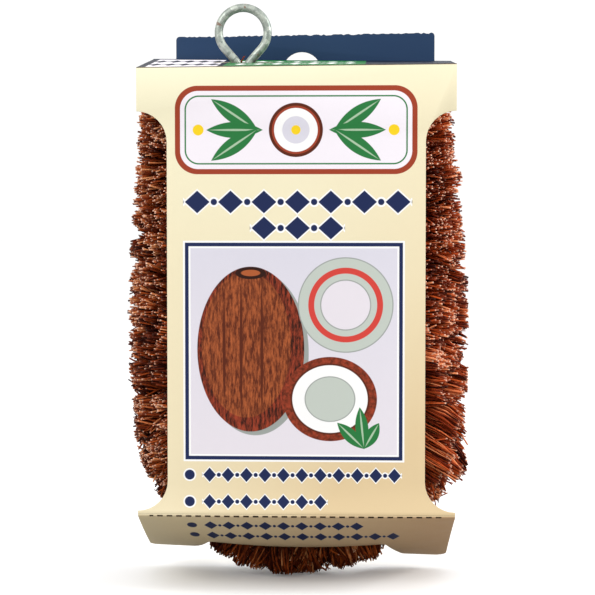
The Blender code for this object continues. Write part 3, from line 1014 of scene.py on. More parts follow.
@dataclass(frozen=True)
class BareBoard(Finish):
    """Unprinted board: the inner faces and the cut edges."""

    roughness: float = 0.85
    light: Colour = srgb(214, 210, 200)
    dark: Colour = srgb(168, 160, 146)
    fleck: Colour = srgb(96, 82, 66)
    grain: float = 0.3
    grain_depth: float = 0.00003

    def pattern(self, coat: Coat) -> None:
        """Flecked grey pulp.

        Args:
            coat: The finish to feed.
        """
        graph, where = coat.graph, coat.where
        grain = graph.call(CardGrain, Where=where, Amount=self.grain)
        flecks = graph.call(Specks, Where=where, Scale=900.0, Threshold=0.66).outputs["Mask"]
        colour = graph.mix(graph.ramp(graph.noise(where, 300.0, 4.0), 0.35, 0.65), self.dark, self.light)
        colour = graph.mix(graph.math("MULTIPLY", flecks, 0.5), colour, self.fleck)
        coat.feed("Base Color", colour)
        coat.bump(grain.outputs["Height"], self.grain_depth)


@dataclass(frozen=True)
class Zinc(Finish):
    """Dull galvanised wire with spangle, pits and a few rust spots."""

    name: str = "galvanised_steel"
    roughness: float = 0.42
    metallic: float = 0.8
    light: Colour = srgb(196, 202, 192)
    dark: Colour = srgb(128, 138, 132)
    rust: Colour = srgb(118, 70, 44)
    rust_share: float = 0.75
    rust_metallic: float = 0.1
    pit_depth: float = 0.00005

    def pattern(self, coat: Coat) -> None:
        """Spangle, pits and rust.

        Args:
            coat: The finish to feed.
        """
        graph, where = coat.graph, coat.where
        cells = graph.node("ShaderNodeTexVoronoi", {"Vector": where, "Scale": 700.0}).outputs["Color"]
        cell = graph.node("ShaderNodeSeparateColor", {0: cells}).outputs[0]
        blotch = graph.noise(where, 320.0, 5.0, 0.65)
        share = graph.total((cell, 0.35), (blotch, 0.75))
        colour = graph.mix(graph.ramp(share, 0.3, 0.75), self.dark, self.light)
        spots = graph.call(Specks, Where=where, Scale=420.0, Threshold=0.68).outputs["Mask"]
        colour = graph.mix(graph.math("MULTIPLY", spots, self.rust_share), colour, self.rust)
        coat.feed("Base Color", colour)
        metallic = graph.ramp(spots, 0.0, 1.0, self.metallic, self.rust_metallic)
        coat.feed("Metallic", metallic)
        rough = graph.ramp(blotch, 0.3, 0.7, self.roughness - 0.08, self.roughness + 0.2)
        coat.feed("Roughness", rough)
        pits = graph.noise(where, 1500.0, 4.0, 0.6)
        coat.bump(graph.total((pits, 1.0), (blotch, 2.0)), self.pit_depth)


@dataclass(frozen=True)
class CoirFibre(Finish):
    """Coconut fibre, darkened at the root by painted shade, pale at the cut end, each fibre with its own
    tint and its own dulling by painted shade.
    """

    name: str = "coconut_fibre"
    roughness: float = 0.5
    specular: float = 0.07
    tones: tuple = ((0.0, srgb(46, 4, 0)), (0.35, srgb(116, 36, 10)), (0.7, srgb(190, 78, 30)),
                    (1.0, srgb(244, 148, 98)))
    shadow: Colour = srgb(18, 2, 0)
    shade_dulled: Colour = (0.6, 1.0, 1.0)
    cut_end: Colour = srgb(255, 208, 180)
    streak_share: float = 0.4
    streak_depth: float = 0.00006

    def pattern(self, coat: Coat) -> None:
        """Tint from each fibre's attributes, with cross marks along it.

        Args:
            coat: The finish to feed.
        """
        graph, where = coat.graph, coat.where
        marks = [graph.node("ShaderNodeAttribute", attribute_name=name) for name in ("tint", "run", "age")]
        tint, run, age = (mark.outputs["Fac"] for mark in marks)
        ramp = graph.node("ShaderNodeValToRGB")
        stops = ramp.color_ramp.elements
        stops[0].color = (*self.tones[0][1], 1)
        stops[1].color = (*self.tones[-1][1], 1)
        for place, tone in self.tones[1:-1]:
            stops.new(place).color = (*tone, 1)
        streak = graph.noise(where, 900.0, 3.0, 0.6)
        mark = graph.math("MULTIPLY", graph.math("SUBTRACT", streak, 0.5), self.streak_share)
        graph.feed(ramp.inputs[0], graph.math("ADD", tint, mark))
        # painted shade: fibres darken to the shadow colour towards the root, and the multiply below dulls
        # those on the left flank and at the nose
        colour = graph.mix(graph.ramp(run, 0.3, 0.9), self.shadow, ramp.outputs[0])
        colour = graph.mix(age, colour, self.shade_dulled, "MULTIPLY")
        tip = graph.math("MULTIPLY", graph.ramp(run, 0.98, 1.0), graph.ramp(tint, 0.4, 0.65, 0.05, 1.0))
        coat.feed("Base Color", graph.mix(tip, colour, self.cut_end))
        rough = graph.ramp(streak, 0.3, 0.7, self.roughness - 0.1, self.roughness + 0.15)
        coat.feed("Roughness", rough)
        coat.bump(streak, self.streak_depth)


@dataclass
class BrushPath:
    """Line that the brush follows: a leg down, a round bend and a leg up."""

    brush_radius: float = 0.02425
    depth_y: float = -0.0195
    bend_z: float = -0.0958
    top_z: float = -0.0092
    lean_in: float = 0.0033
    lean: float = field(init=False)
    leg: float = field(init=False)
    bend: float = field(init=False)
    total: float = field(init=False)
    middle: float = field(init=False)

    def __post_init__(self) -> None:
        """Work out the lean and the lengths of a leg, the bend, the line and half of it."""
        self.lean = math.asin(self.lean_in / (self.top_z - self.bend_z))
        height = self.top_z - self.bend_z - self.brush_radius * math.sin(self.lean)
        self.leg = height / math.cos(self.lean)
        self.bend = self.brush_radius * (math.pi + 2 * self.lean)
        self.total = 2 * self.leg + self.bend
        self.middle = self.total / 2

    def frames(self, s: Array) -> tuple[Array, Array, Array]:
        """Points, directions and outward directions at lengths along the line.

        Args:
            s: Lengths from the left leg's top.

        Returns:
            Three arrays of rows, one row for each length.
        """
        held = np.clip(s, self.leg, self.leg + self.bend)
        angle = (held - self.leg) / self.brush_radius - self.lean
        zero = np.zeros_like(angle)
        outward = np.stack([-np.cos(angle), zero, -np.sin(angle)], -1)
        along = np.stack([np.sin(angle), zero, -np.cos(angle)], -1)
        centre = np.array([0.0, self.depth_y, self.bend_z])
        point = centre + outward * self.brush_radius + along * (s - held)[..., None]
        return point, along, outward

    def start(self) -> tuple[Array, Array]:
        """Point and direction at the left leg's top."""
        point, along, _ = self.frames(np.array([0.0]))
        return point[0], along[0]

    def place(self, s: Array, radius: Array, turn: Array) -> Array:
        """Points at distances from the line, turned from outward towards the back."""
        point, _, outward = self.frames(s)
        return (point + outward * (radius * np.cos(turn))[..., None]
                + BACK * (radius * np.sin(turn))[..., None])


@dataclass
class CardSleeve:
    """Printed card sleeve: four panels, their folds and the perforated crease."""

    board: float = 0.0005
    depth: float = 0.039
    width: float = 0.086
    front_crease_z: float = -0.0012
    rear_crease_z: float = 0.0034
    base_crease_z: float = -0.1224
    drop_mid: float = 0.00805
    drop_rear: float = 0.0161
    belly: float = 0.00365
    twist: float = 0.0013
    skew: float = 0.0012
    recess_throat: float = 0.0495
    recess_mouth: float = 0.061
    edge_round: float = 0.00006
    face_on: float = 0.7
    flap_face_on: float = 0.5
    dash_pitch: float = 0.0026
    dash_parts: int = 5
    dash_open: int = 3
    fold_rows: int = 8
    dash_rows: tuple = (2, 3, 4)
    dash_half: float = 0.0396
    fold_gap: float = 0.00055
    panel_gap: float = 0.00015
    flap_columns: int = 28
    flap_rows: int = 16
    nib: float = 0.00035
    nib_count: int = 120
    nib_share: float = 0.7
    header_least: float = 0.05
    header_flat: float = 0.0360
    header_x: float = 0.0009
    header_skew: float = 0.0127
    head_skew: float = 0.0081
    rear_skew: float = 0.0102
    seed: int = 3
    inside: Material = field(init=False)
    cut_edge: Material = field(init=False)
    front_print: Material = field(init=False)
    flap_print: Material = field(init=False)
    painted_slit_shade: Material = field(init=False)

    def __post_init__(self) -> None:
        """Make the finishes that several panels share."""
        self.inside = BareBoard("board_inside").make()
        pale, grey = srgb(232, 226, 208), srgb(188, 176, 152)
        self.cut_edge = BareBoard("board_cut_edge", light=pale, dark=grey).make()
        self.front_print = FrontPrint().make()
        self.flap_print = FlapPrint().make()
        # painted shade: a dark brown board finish on the folds' rim faces stands in for the shadow inside
        # the perforation slits
        self.painted_slit_shade = BareBoard("perforated_edge", light=srgb(92, 70, 48), dark=srgb(44, 30, 20)).make()

    @property
    def hinge_y(self) -> float:
        """Depth of the front creases, in the middle of the board."""
        return -self.depth + self.board / 2

    def drop(self, share: Array, x: Array) -> Array:
        """How far the flap lies below its crease, at a share of the depth and a place across."""
        profile = self.drop_mid * 4 * share * (1 - share) + self.drop_rear * share * (2 * share - 1)
        return profile + self.belly * (1 - (2 * x / self.width) ** 2) * 4 * share * (1 - share)

    def warp(self, share: Array, x: Array) -> Array:
        """How far the flap's rear is twisted up on the left and down on the right."""
        return -self.twist * (2 * x / self.width) * share ** 2

    def share_back(self, y: Array) -> Array:
        """Share of the depth, from 0 at the front creases to 1 at the back."""
        return np.clip((y - self.hinge_y) / -self.hinge_y, 0, 1)

    def flap_z(self, x: Array, y: Array) -> Array:
        """Height of the flap's upper face."""
        share = self.share_back(y)
        return self.base_crease_z + self.warp(share, x) - self.drop(share, x)

    def recess_half(self, y: Array) -> Array:
        """Half the width of the flap's recess at a depth."""
        share = np.clip((y - self.hinge_y / 2) / (-self.hinge_y / 2), 0, 1)
        return (self.recess_throat + (self.recess_mouth - self.recess_throat) * share) / 2

    def recess_middle(self, y: Array) -> Array:
        """Where the middle of the flap's recess lies across, at a depth."""
        return -self.skew * self.share_back(y)

    def build(self) -> None:
        """Model and dress every panel and fold."""
        for part in (self.front, self.top, self.back, self.flap, self.base_fold, self.top_fold):
            part()

    def copy_of(self, node: str, name: str) -> Item:
        """Copy a CAD panel and merge its loose triangles.

        Args:
            node: The CAD node.
            name: Name of the new piece.

        Returns:
            The new object, with its faces merged.
        """
        item = Bench.link(name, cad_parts[node].data.copy())
        item.data.materials.clear()
        Bench.edit(item)
        bpy.ops.mesh.remove_doubles(threshold=MERGE)
        bpy.ops.mesh.dissolve_limited(angle_limit=math.radians(0.2))
        Bench.close()
        return item

    def soften(self, item: Item) -> None:
        """Round a panel's cut edges a little and shade its faces."""
        Bench.apply(item, "BEVEL", width=self.edge_round, segments=2, limit_method="ANGLE",
                    angle_limit=math.radians(50))
        Bench.smooth(item, 30)

    def dress(self, item: Item, finish: Material, slot: Callable[[Face], int]) -> None:
        """Give a panel its print in slot 0, cut edges in slot 1 and its bare inside in slot 2."""
        Bench.paint(item, (finish, self.cut_edge, self.inside), slot)

    @staticmethod
    def side(value: float, limit: float) -> int:
        """Slot of a face from its normal's share towards the inside: print, cut edge or inside."""
        return 0 if value < -limit else 2 if value > limit else 1

    def front(self) -> None:
        """Front panel. Its head runs a little out of level, as the card was folded by hand."""
        item = self.copy_of("card_front_panel", "front_card")
        places = Bench.points(item)
        head = places[:, 2] > self.front_crease_z - 2 * self.fold_gap
        places[head, 2] += self.head_skew * places[head, 0]
        Bench.move(item, places)
        self.soften(item)
        self.dress(item, self.front_print, lambda face: self.side(face.normal.y, self.face_on))
        Bench.seat(item, Body.FRONT, Slot.CARD, "card_front_panel")

    def top(self) -> None:
        """Top panel, run back to meet the back panel. Its creases run a little out of level."""
        item = self.copy_of("card_top_panel", "top_card")
        places = Bench.points(item)
        rear = places[:, 1] > -self.board - 2 * self.fold_gap
        places[rear, 1] += 0.5 * self.fold_gap
        forward = np.clip(places[:, 1] / self.hinge_y, 0, 1)
        x = places[:, 0]
        places[:, 2] += self.head_skew * x * forward - self.rear_skew * x * (1 - forward)
        Bench.move(item, places)
        self.soften(item)
        self.dress(item, TopPrint().make(), lambda face: self.side(-face.normal.z, self.face_on))
        Bench.seat(item, Body.PACK, Slot.CARD, "card_top_panel")

    def back(self) -> None:
        """Back panel and header, its top edge nibbed where it was torn from its neighbour."""
        item = self.copy_of("card_back_panel", "back_card")
        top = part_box("card_back_panel")[1][2]

        def along_top(edge: bpy.types.MeshEdge) -> bool:
            """Whether an edge is the header's long top edge."""
            first, last = (item.data.vertices[i].co for i in edge.vertices)
            return min(first.z, last.z) > top - self.nib and abs(first.x - last.x) > self.header_least

        Bench.edit_some(item, "EDGE", along_top)
        bpy.ops.mesh.subdivide(number_cuts=self.nib_count)
        Bench.close()
        places = Bench.points(item)
        sunk = np.clip((self.base_crease_z - places[:, 2]) / self.drop_rear, 0, 1)
        places[:, 2] += self.warp(sunk, places[:, 0])
        places[:, 0] -= self.skew * sunk
        crease = np.abs(places[:, 2] - self.rear_crease_z) < self.fold_gap / 2
        places[crease, 2] -= self.rear_skew * places[crease, 0]
        header = places[:, 2] > top - 2 * self.fold_gap
        places[header, 2] += self.header_skew * places[header, 0]
        Bench.move(item, places)
        self.soften(item)
        self.tear(item, top)
        self.dress(item, BackPrint().make(), lambda face: int(abs(face.normal.y) < self.face_on))
        Bench.seat(item, Body.PACK, Slot.CARD, "card_back_panel")

    def tear(self, item: Item, top: float) -> None:
        """Lower points of the header's top edge unevenly, as torn perforation leaves it.

        Args:
            item: The back card.
            top: Height of the edge.
        """
        rng = np.random.default_rng(self.seed)
        count = self.nib_count + 2
        depths = rng.uniform(0, self.nib, count) * (rng.random(count) < self.nib_share)
        places = Bench.points(item)
        across = places[:, 0] - self.header_x
        edge = top + self.header_skew * places[:, 0]
        near = (places[:, 2] > edge - 3 * self.edge_round) & (np.abs(across) < self.header_flat)
        column = np.rint((across / self.header_flat + 1) / 2 * (count - 1))
        places[near, 2] -= depths[np.clip(column, 0, count - 1).astype(int)[near]]
        Bench.move(item, places)

    def flap(self) -> None:
        """Base flap, flattened, scored finer and bellied again."""
        item = self.copy_of("card_base_flap", "base_flap_card")
        places = Bench.points(item)
        share = (places[:, 1] - self.hinge_y) / -self.hinge_y
        places[:, 2] += self.drop(share, places[:, 0])
        Bench.move(item, places)
        Bench.edit(item)
        bpy.ops.mesh.dissolve_limited(angle_limit=math.radians(0.5))
        across = [self.width * (i / self.flap_columns - 0.5) for i in range(1, self.flap_columns)]
        back = [self.hinge_y * (1 - i / self.flap_rows) for i in range(1, self.flap_rows)]
        cuts = [((x, 0, 0), (1, 0, 0)) for x in across] + [((0, y, 0), (0, 1, 0)) for y in back]
        for place, normal in cuts:
            bpy.ops.mesh.select_all(action="SELECT")
            bpy.ops.mesh.bisect(plane_co=place, plane_no=normal)
        Bench.close()
        places = Bench.points(item)
        share = (places[:, 1] - self.hinge_y) / -self.hinge_y
        places[:, 2] += self.warp(share, places[:, 0]) - self.drop(share, places[:, 0])
        places[:, 0] -= self.skew * share
        Bench.move(item, places)
        self.soften(item)
        self.dress(item, self.flap_print, lambda face: self.side(face.normal.z, self.flap_face_on))
        Bench.seat(item, Body.FLAP, Slot.CARD, "card_base_flap")

    def fold(self, name: str, profile: Callable[[Array], tuple], dashes: bool) -> Item:
        """Sheet of card round a crease.

        Args:
            name: Name of the piece.
            profile: Gives the three control points of the middle surface, as y and z, for places across.
            dashes: Whether the fold is perforated.

        Returns:
            The new object.
        """
        columns = round(self.width / self.dash_pitch) * self.dash_parts
        bpy.ops.mesh.primitive_grid_add(x_subdivisions=columns, y_subdivisions=self.fold_rows, size=1.0)
        item = bpy.context.object
        item.name = name
        places = Bench.points(item)
        across = places[:, 0] * (self.width - self.edge_round)
        along = places[:, 1] + 0.5
        shares = ((1 - along) ** 2, 2 * along * (1 - along), along ** 2)
        controls = profile(across)
        y, z = (sum(share * point[axis] for share, point in zip(shares, controls)) for axis in (0, 1))
        Bench.move(item, np.column_stack([across, y, z]))
        # faces from the first dash row down take the flap's print, so its painted shade begins at the
        # perforation
        Bench.paint(item, (self.front_print, self.flap_print, self.painted_slit_shade),
                    lambda face: int(dashes and face.index // columns >= self.dash_rows[0]))
        if dashes:
            self.perforate(item, columns)
        # rim faces, the slits' walls among them, take the dark painted shade finish
        Bench.apply(item, "SOLIDIFY", thickness=self.board, offset=0.0, material_offset_rim=2)
        Bench.outwards(item)
        Bench.smooth(item, 40)
        return item

    def perforate(self, item: Item, columns: int) -> None:
        """Cut the dashes out of a fold.

        Args:
            item: The fold, a grid of faces in rows.
            columns: Faces in a row.
        """
        def in_dash(face: Face) -> bool:
            """Whether a face lies in one of the dashes."""
            row, column = divmod(face.index, columns)
            return (row in self.dash_rows and column % self.dash_parts < self.dash_open
                    and abs(face.center.x) < self.dash_half)

        Bench.edit_some(item, "FACE", in_dash)
        bpy.ops.mesh.delete(type="FACE")
        Bench.close()

    def base_fold(self) -> None:
        """Perforated crease between the front panel and the flap."""
        y = self.hinge_y
        behind = y + self.fold_gap
        head = self.base_crease_z + self.panel_gap

        def profile(across: Array) -> tuple:
            """Control points from the front panel's foot to the flap's root."""
            under = self.flap_z(across, np.full_like(across, behind)) - self.board / 2
            return (y, head), (y, under + self.edge_round), (behind, under)

        item = self.fold("base_crease", profile, True)
        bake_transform(item)
        LOG.info("%s: %d faces across the perforated crease", item.name, len(item.data.polygons))

    def top_fold(self) -> None:
        """Plain crease between the top panel and the front panel."""
        y = self.hinge_y
        z = self.front_crease_z
        behind = y + self.fold_gap
        over = z - self.board / 2 + self.fold_gap * (self.rear_crease_z - z) / self.depth
        foot = z - self.panel_gap

        def profile(across: Array) -> tuple:
            """Control points from the top panel's front to the front panel's head."""
            rise = self.head_skew * across
            return (behind, over + rise), (y, z - self.board / 3 + rise), (y, foot + rise)

        item = self.fold("top_crease", profile, False)
        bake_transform(item)
        LOG.info("%s: %d faces across the front top crease", item.name, len(item.data.polygons))


@dataclass
class HangingWire:
    """One unbroken wire: ring, twisted halves, tail and hook."""

    path: BrushPath
    diameter: float = 0.00235
    spacing: float = 0.003
    ring_width: float = 0.016
    ring_top_z: float = 0.01768
    ring_x: float = -0.0157
    ring_y: float = -0.0175
    ring_steps: int = 48
    neck_top_z: float = 0.001061
    neck_drop: float = 0.0115
    turns: int = 13
    points_per_turn: int = 16
    tail_drop: float = 0.0033
    tail_bend: tuple = (25, 40, 55, 70, 85)
    tail_lean: float = 0.06
    tail_steps: int = 12
    bend_radius: float = 0.004
    hook_radius: float = 0.0049
    hook_start: float = 270.0
    hook_sweep: float = 190.0
    hook_steps: int = 24
    stub: float = 0.0015
    sides_step: int = 5

    def build(self) -> None:
        """Model the wire along its route and dress it."""
        route = self.route()
        curve = bpy.data.curves.new("wire", "CURVE")
        curve.dimensions = "3D"
        curve.bevel_depth = self.diameter / 2
        curve.bevel_resolution = self.sides_step
        curve.use_fill_caps = True
        spline = curve.splines.new("POLY")
        spline.points.add(len(route) - 1)
        for target, point in zip(spline.points, route):
            target.co = (*point, 1)
        Bench.pick(Bench.link("hanging_wire", curve))
        bpy.ops.object.convert(target="MESH")
        item = bpy.context.object
        Bench.outwards(item, MERGE)
        Bench.smooth(item, 50)
        Bench.paint(item, (Zinc().make(),))
        Bench.seat(item, Body.PACK, Slot.WIRE, "core_wire")

    def neck_point(self, z: float) -> Array:
        """Middle of the twisted pair between the ring and the left leg.

        Args:
            z: Height of the point.

        Returns:
            The point.
        """
        start, along = self.path.start()
        on_leg = start + along * ((z - start[2]) / along[2])
        share = smoothed(min(max((self.neck_top_z - z) / self.neck_drop, 0.0), 1.0))
        return np.array([self.ring_x, self.ring_y, z]) * (1 - share) + on_leg * share

    def pair(self, s: float) -> tuple[Array, Array, Array]:
        """Middle, outward and back directions of the twisted pair.

        Args:
            s: Length down the pair from the ring's neck.

        Returns:
            A point and two directions at right angles to the pair.
        """
        if s < self.neck_drop:
            z = self.neck_top_z - s
            step = self.neck_drop / 100
            here = self.neck_point(z)
            along = self.neck_point(z - step) - self.neck_point(z + step)
            along = along / np.linalg.norm(along)
        else:
            rows = self.path.frames(np.array([s - self.neck_drop + self.on_path()]))
            here, along = rows[0][0], rows[1][0]
        back = BACK - along * BACK.dot(along)
        back = back / np.linalg.norm(back)
        return here, np.cross(back, along), back

    def on_path(self) -> float:
        """Length along the brush's line at which the neck has come into line with the leg."""
        start, along = self.path.start()
        return (self.neck_top_z - self.neck_drop - start[2]) / along[2]

    def twist(self, phase: float) -> list[Array]:
        """Lay one half of the twist.

        Args:
            phase: Turn of the half at the neck, in radians.

        Returns:
            Points from the neck to the cut end.
        """
        length = self.neck_drop + self.path.total - self.on_path()
        count = self.turns * self.points_per_turn
        points = []
        for i in range(count + 1):
            here, outward, back = self.pair(length * i / count)
            turn = 2 * math.pi * self.turns * i / count + phase
            points.append(here + (outward * math.cos(turn) + back * math.sin(turn)) * self.spacing / 2)
        return points

    def ring(self) -> list[Array]:
        """Lay the teardrop ring, from the neck's left side over the top to its right side.

        Returns:
            Points of the ring.
        """
        radius = (self.ring_width - self.diameter) / 2
        centre_z = self.ring_top_z - self.ring_width / 2
        height = centre_z - self.neck_top_z
        half = self.spacing / 2
        lean = math.degrees(math.atan2(half, height))
        opened = math.degrees(math.acos(radius / math.hypot(height, half)))
        start = 270 - lean - opened
        sweep = 180 - 2 * start
        arc = [math.radians(start + sweep * i / self.ring_steps) for i in range(self.ring_steps + 1)]
        round_part = [self.at_ring(radius * math.cos(a), centre_z + radius * math.sin(a)) for a in arc]
        feet = (self.at_ring(-half, self.neck_top_z), self.at_ring(half, self.neck_top_z))
        quarters = (0.25, 0.5, 0.75)
        left = [feet[0] + (round_part[0] - feet[0]) * share for share in quarters]
        right = [round_part[-1] + (feet[1] - round_part[-1]) * share for share in quarters]
        return left + round_part + right

    def at_ring(self, across: float, z: float) -> Array:
        """Point in the ring's plane, at a distance across from its middle and a height."""
        return np.array([self.ring_x + across, self.ring_y, z])

    def tail(self, last: Array) -> list[Array]:
        """Lay the tail across the top and its hook round the neck.

        Args:
            last: End of the twist, on the right.

        Returns:
            Points of the tail and the hook.
        """
        z = self.neck_top_z - self.tail_drop
        hook = self.neck_point(z)
        forward = hook[1] - self.hook_radius - last[1]
        points = []
        for i, degrees in enumerate(self.tail_bend, 1):
            angle = math.radians(degrees)
            points.append(np.array([last[0] - self.bend_radius * (1 - math.cos(angle)),
                                    last[1] + forward * self.tail_lean * i,
                                    z - self.bend_radius * (1 - math.sin(angle))]))
        start = points[-1]
        forward = hook[1] - self.hook_radius - start[1]
        for i in range(1, self.tail_steps):
            share = i / self.tail_steps
            points.append(np.array([start[0] + (hook[0] - start[0]) * share,
                                    start[1] + forward * smoothed(share), z]))
        for i in range(self.hook_steps + 1):
            angle = math.radians(self.hook_start - self.hook_sweep * i / self.hook_steps)
            points.append(np.array([hook[0] + self.hook_radius * math.cos(angle),
                                    hook[1] + self.hook_radius * math.sin(angle), z]))
        return points

    def route(self) -> list[Array]:
        """The whole wire from its cut end to its hook.

        Returns:
            Points along the wire.
        """
        upward = self.twist(0.0)[::-1]
        downward = self.twist(math.pi)
        stub = upward[0] + np.array([0, 0, self.stub])
        return [stub] + upward + self.ring() + downward + self.tail(downward[-1])


@dataclass
class Clumps:
    """Clumps that one bundle's fibres are drawn together in, one value for each clump."""

    bent: bool
    cell: tuple[float, float]
    s: Array
    turn: Array
    reach: Array
    lean: Array
    swing: Array
    tint: Array

    def of(self, pick: Array) -> "Clumps":
        """The same fields with one value for each fibre, from the number of its clump."""
        rows = {key: value[pick] for key, value in vars(self).items() if isinstance(value, Array)}
        return replace(self, **rows)


@dataclass
class CoirBrush:
    """Coconut fibre, bundle by bundle, each a mesh of bent and clumped fibres."""

    path: BrushPath
    sleeve: CardSleeve
    leg_bundles: int = 8
    bend_bundles: int = 8
    leg_fibres: int = 1950
    bend_fibres: int = 3200
    clumps_round: int = 26
    clumps_along: int = 3
    clump_jitter: float = 0.4
    clump_lean: float = 0.0011
    clump_swing: float = 0.045
    clump_tint: float = 0.15
    thick: float = 0.00051
    thick_range: tuple = (0.65, 1.35)
    root: float = 0.0036
    left_ragged: float = 0.12
    right_ragged: tuple = (0.13, 0.09)
    row_step: tuple = (0.03, 0.12)
    row_most: float = 1.015
    outer_weight: tuple = (0.35, 0.65)
    side_spread: float = 0.55
    leg_gather: tuple = (0.30, 0.62)
    left_gather: float = 0.4
    bend_gather: float = 0.62
    bend_face: float = 2.1
    bend_pull: float = 0.2
    bow: float = 0.0006
    fibre_ragged: float = 0.055
    short_share: float = 0.22
    short_reach: tuple = (0.72, 0.95)
    stray_share: float = 0.05
    stray_s: float = 0.0035
    stray_turn: float = 0.12
    end_room: float = 0.0012
    kink: float = 0.00013
    sweep_bias: float = 0.2
    sweep_most: float = 0.5
    comb: tuple = (0.35, 0.62)
    comb_front: float = -1.6
    comb_from: float = 0.035
    comb_full: float = 0.085
    tint: float = 0.46
    fibre_tint: float = 0.25
    # painted shade darkens fibres in the grooves and at the nose and dulls the left flank and the nose;
    # painted light brightens the right flank, which the key light faces
    groove_painted_shade: float = -0.24
    nose_painted_shade: float = -0.10
    side_painted_light_and_shade: tuple = (-0.05, 0.095)
    top_tint: float = 0.09
    side_shade_dulling: tuple = (0.5, 0.0)
    nose_shade_dulling: float = 0.75
    droop: float = 0.0040
    droop_fade: float = 0.014
    groove_pitch: float = 0.0185
    groove_depth: float = 0.085
    groove_half: float = 0.0008
    nose_half: float = 0.017
    nose_turn: float = 0.42
    nose_more: float = 1.6
    recess_room: float = 0.0009
    card_soft: float = 0.0022
    leg_soft: float = 0.0012
    flap_soft: float = 0.0016
    rings: tuple = (0.0, 0.42, 0.7, 0.88, 1.0)
    taper: tuple = (1.0, 1.0, 1.0, 1.0, 0.92)
    seed: int = 20
    neck_wisps: tuple = (
        ((-0.0159, -0.0189, -0.0010), (-0.0160, -0.0190, 0.0010), (-0.0159, -0.0190, 0.0019),
         (-0.0156, -0.0189, 0.0026), (-0.0151, -0.0187, 0.0030)),
        ((-0.0162, -0.0189, -0.0010), (-0.0161, -0.0190, 0.0008), (-0.0162, -0.0191, 0.0015),
         (-0.0159, -0.0190, 0.0020), (-0.0155, -0.0189, 0.0020)))
    wisp_tint: float = 0.42
    trims: tuple = (
        ((0.0, 0.98), (0.015, 0.99), (0.03, 1.03), (0.0775, 1.035), (0.0835, 0.96), (0.0906, 0.95),
         (0.0943, 0.945), (0.0986, 0.895), (0.108, 0.98), (0.1235, 0.99)),
        ((0.0, 0.85), (0.012, 0.92), (0.018, 0.97), (0.03, 0.99), (0.05, 1.02), (0.0636, 1.04),
         (0.075, 1.05), (0.08, 0.97), (0.084, 1.03), (0.0905, 1.09), (0.0945, 1.0), (0.104, 0.98),
         (0.1235, 1.0)))

    def build(self) -> None:
        """Grow every bundle from one modelled fibre."""
        finish = CoirFibre().make()
        pattern, faces = self.master()
        for number, (start, end) in enumerate(self.slices(), 1):
            rng = np.random.default_rng(self.seed + number)
            lines, tint, age = self.lines(rng, start, end)
            if number == 1:
                wisps = len(self.neck_wisps)
                lines = np.concatenate([lines, np.array(self.neck_wisps)])
                tint = np.concatenate([tint, np.full(wisps, self.wisp_tint)])
                age = np.concatenate([age, np.full(wisps, self.side_shade_dulling[0])])
            name = f"coir_{number:02d}"
            mesh = self.mesh(name, self.thicken(rng, lines, pattern), faces, len(lines))
            each = len(pattern)
            marks = {"tint": np.repeat(tint, each), "age": np.repeat(age, each),
                     "run": np.tile(pattern[:, 2], len(lines))}
            for label, values in marks.items():
                attribute = mesh.attributes.new(label, "FLOAT", "POINT")
                attribute.data.foreach_set("value", values.astype(np.float32))
            item = Bench.link(name, mesh)
            Bench.paint(item, (finish,))
            Bench.seat(item, Body.PACK, Slot.COIR, f"coir_bundle_{number:02d}")

    def slices(self) -> list[tuple[float, float]]:
        """Cut the line into bundles.

        Returns:
            Start and end of each bundle along the line.
        """
        leg, bend = self.path.leg, self.path.bend
        cuts = [leg * i / self.leg_bundles for i in range(self.leg_bundles)]
        cuts += [leg + bend * i / self.bend_bundles for i in range(self.bend_bundles)]
        cuts += [leg + bend + leg * i / self.leg_bundles for i in range(self.leg_bundles + 1)]
        return list(zip(cuts, cuts[1:]))

    def master(self) -> tuple[Array, list[tuple[int, ...]]]:
        """Model one three-sided fibre of unit length and width.

        Returns:
            Its vertices (side, forward, share of its length) and its faces.
        """
        bpy.ops.mesh.primitive_circle_add(vertices=3, radius=0.5, fill_type="NGON", location=(0, 0, 0))
        item = bpy.context.object
        Bench.edit(item)
        bpy.ops.mesh.flip_normals()
        for before, after, wide, narrow in zip(self.rings, self.rings[1:], self.taper, self.taper[1:]):
            bpy.ops.mesh.extrude_region_move(TRANSFORM_OT_translate={"value": (0, 0, after - before)})
            bpy.ops.transform.resize(value=(narrow / wide, narrow / wide, 1))
        Bench.close()
        Bench.outwards(item)
        vertices = Bench.points(item)
        faces = [tuple(face.vertices) for face in item.data.polygons]
        bpy.data.objects.remove(item, do_unlink=True)
        return vertices, faces

    @staticmethod
    def mesh(name: str, places: Array, faces: list[tuple[int, ...]], count: int) -> bpy.types.Mesh:
        """Make one mesh of many copies of the modelled fibre.

        Args:
            name: The mesh's name.
            places: Vertices of all the copies.
            faces: Faces of one copy.
            count: Number of copies.

        Returns:
            The new mesh.
        """
        made = bpy.data.meshes.new(name)
        each = len(places) // count
        corners = (np.concatenate(faces)[None, :] + np.arange(count)[:, None] * each).ravel()
        totals = np.tile([len(face) for face in faces], count)
        starts = np.concatenate([[0], np.cumsum(totals)[:-1]])
        made.vertices.add(len(places))
        made.vertices.foreach_set("co", places.astype(np.float32).ravel())
        made.loops.add(len(corners))
        made.loops.foreach_set("vertex_index", corners.astype(np.int32))
        made.polygons.add(len(totals))
        made.polygons.foreach_set("loop_start", starts.astype(np.int32))
        made.polygons.foreach_set("loop_total", totals.astype(np.int32))
        made.polygons.foreach_set("use_smooth", np.ones(len(totals), bool))
        made.update(calc_edges=True)
        made.validate()
        return made

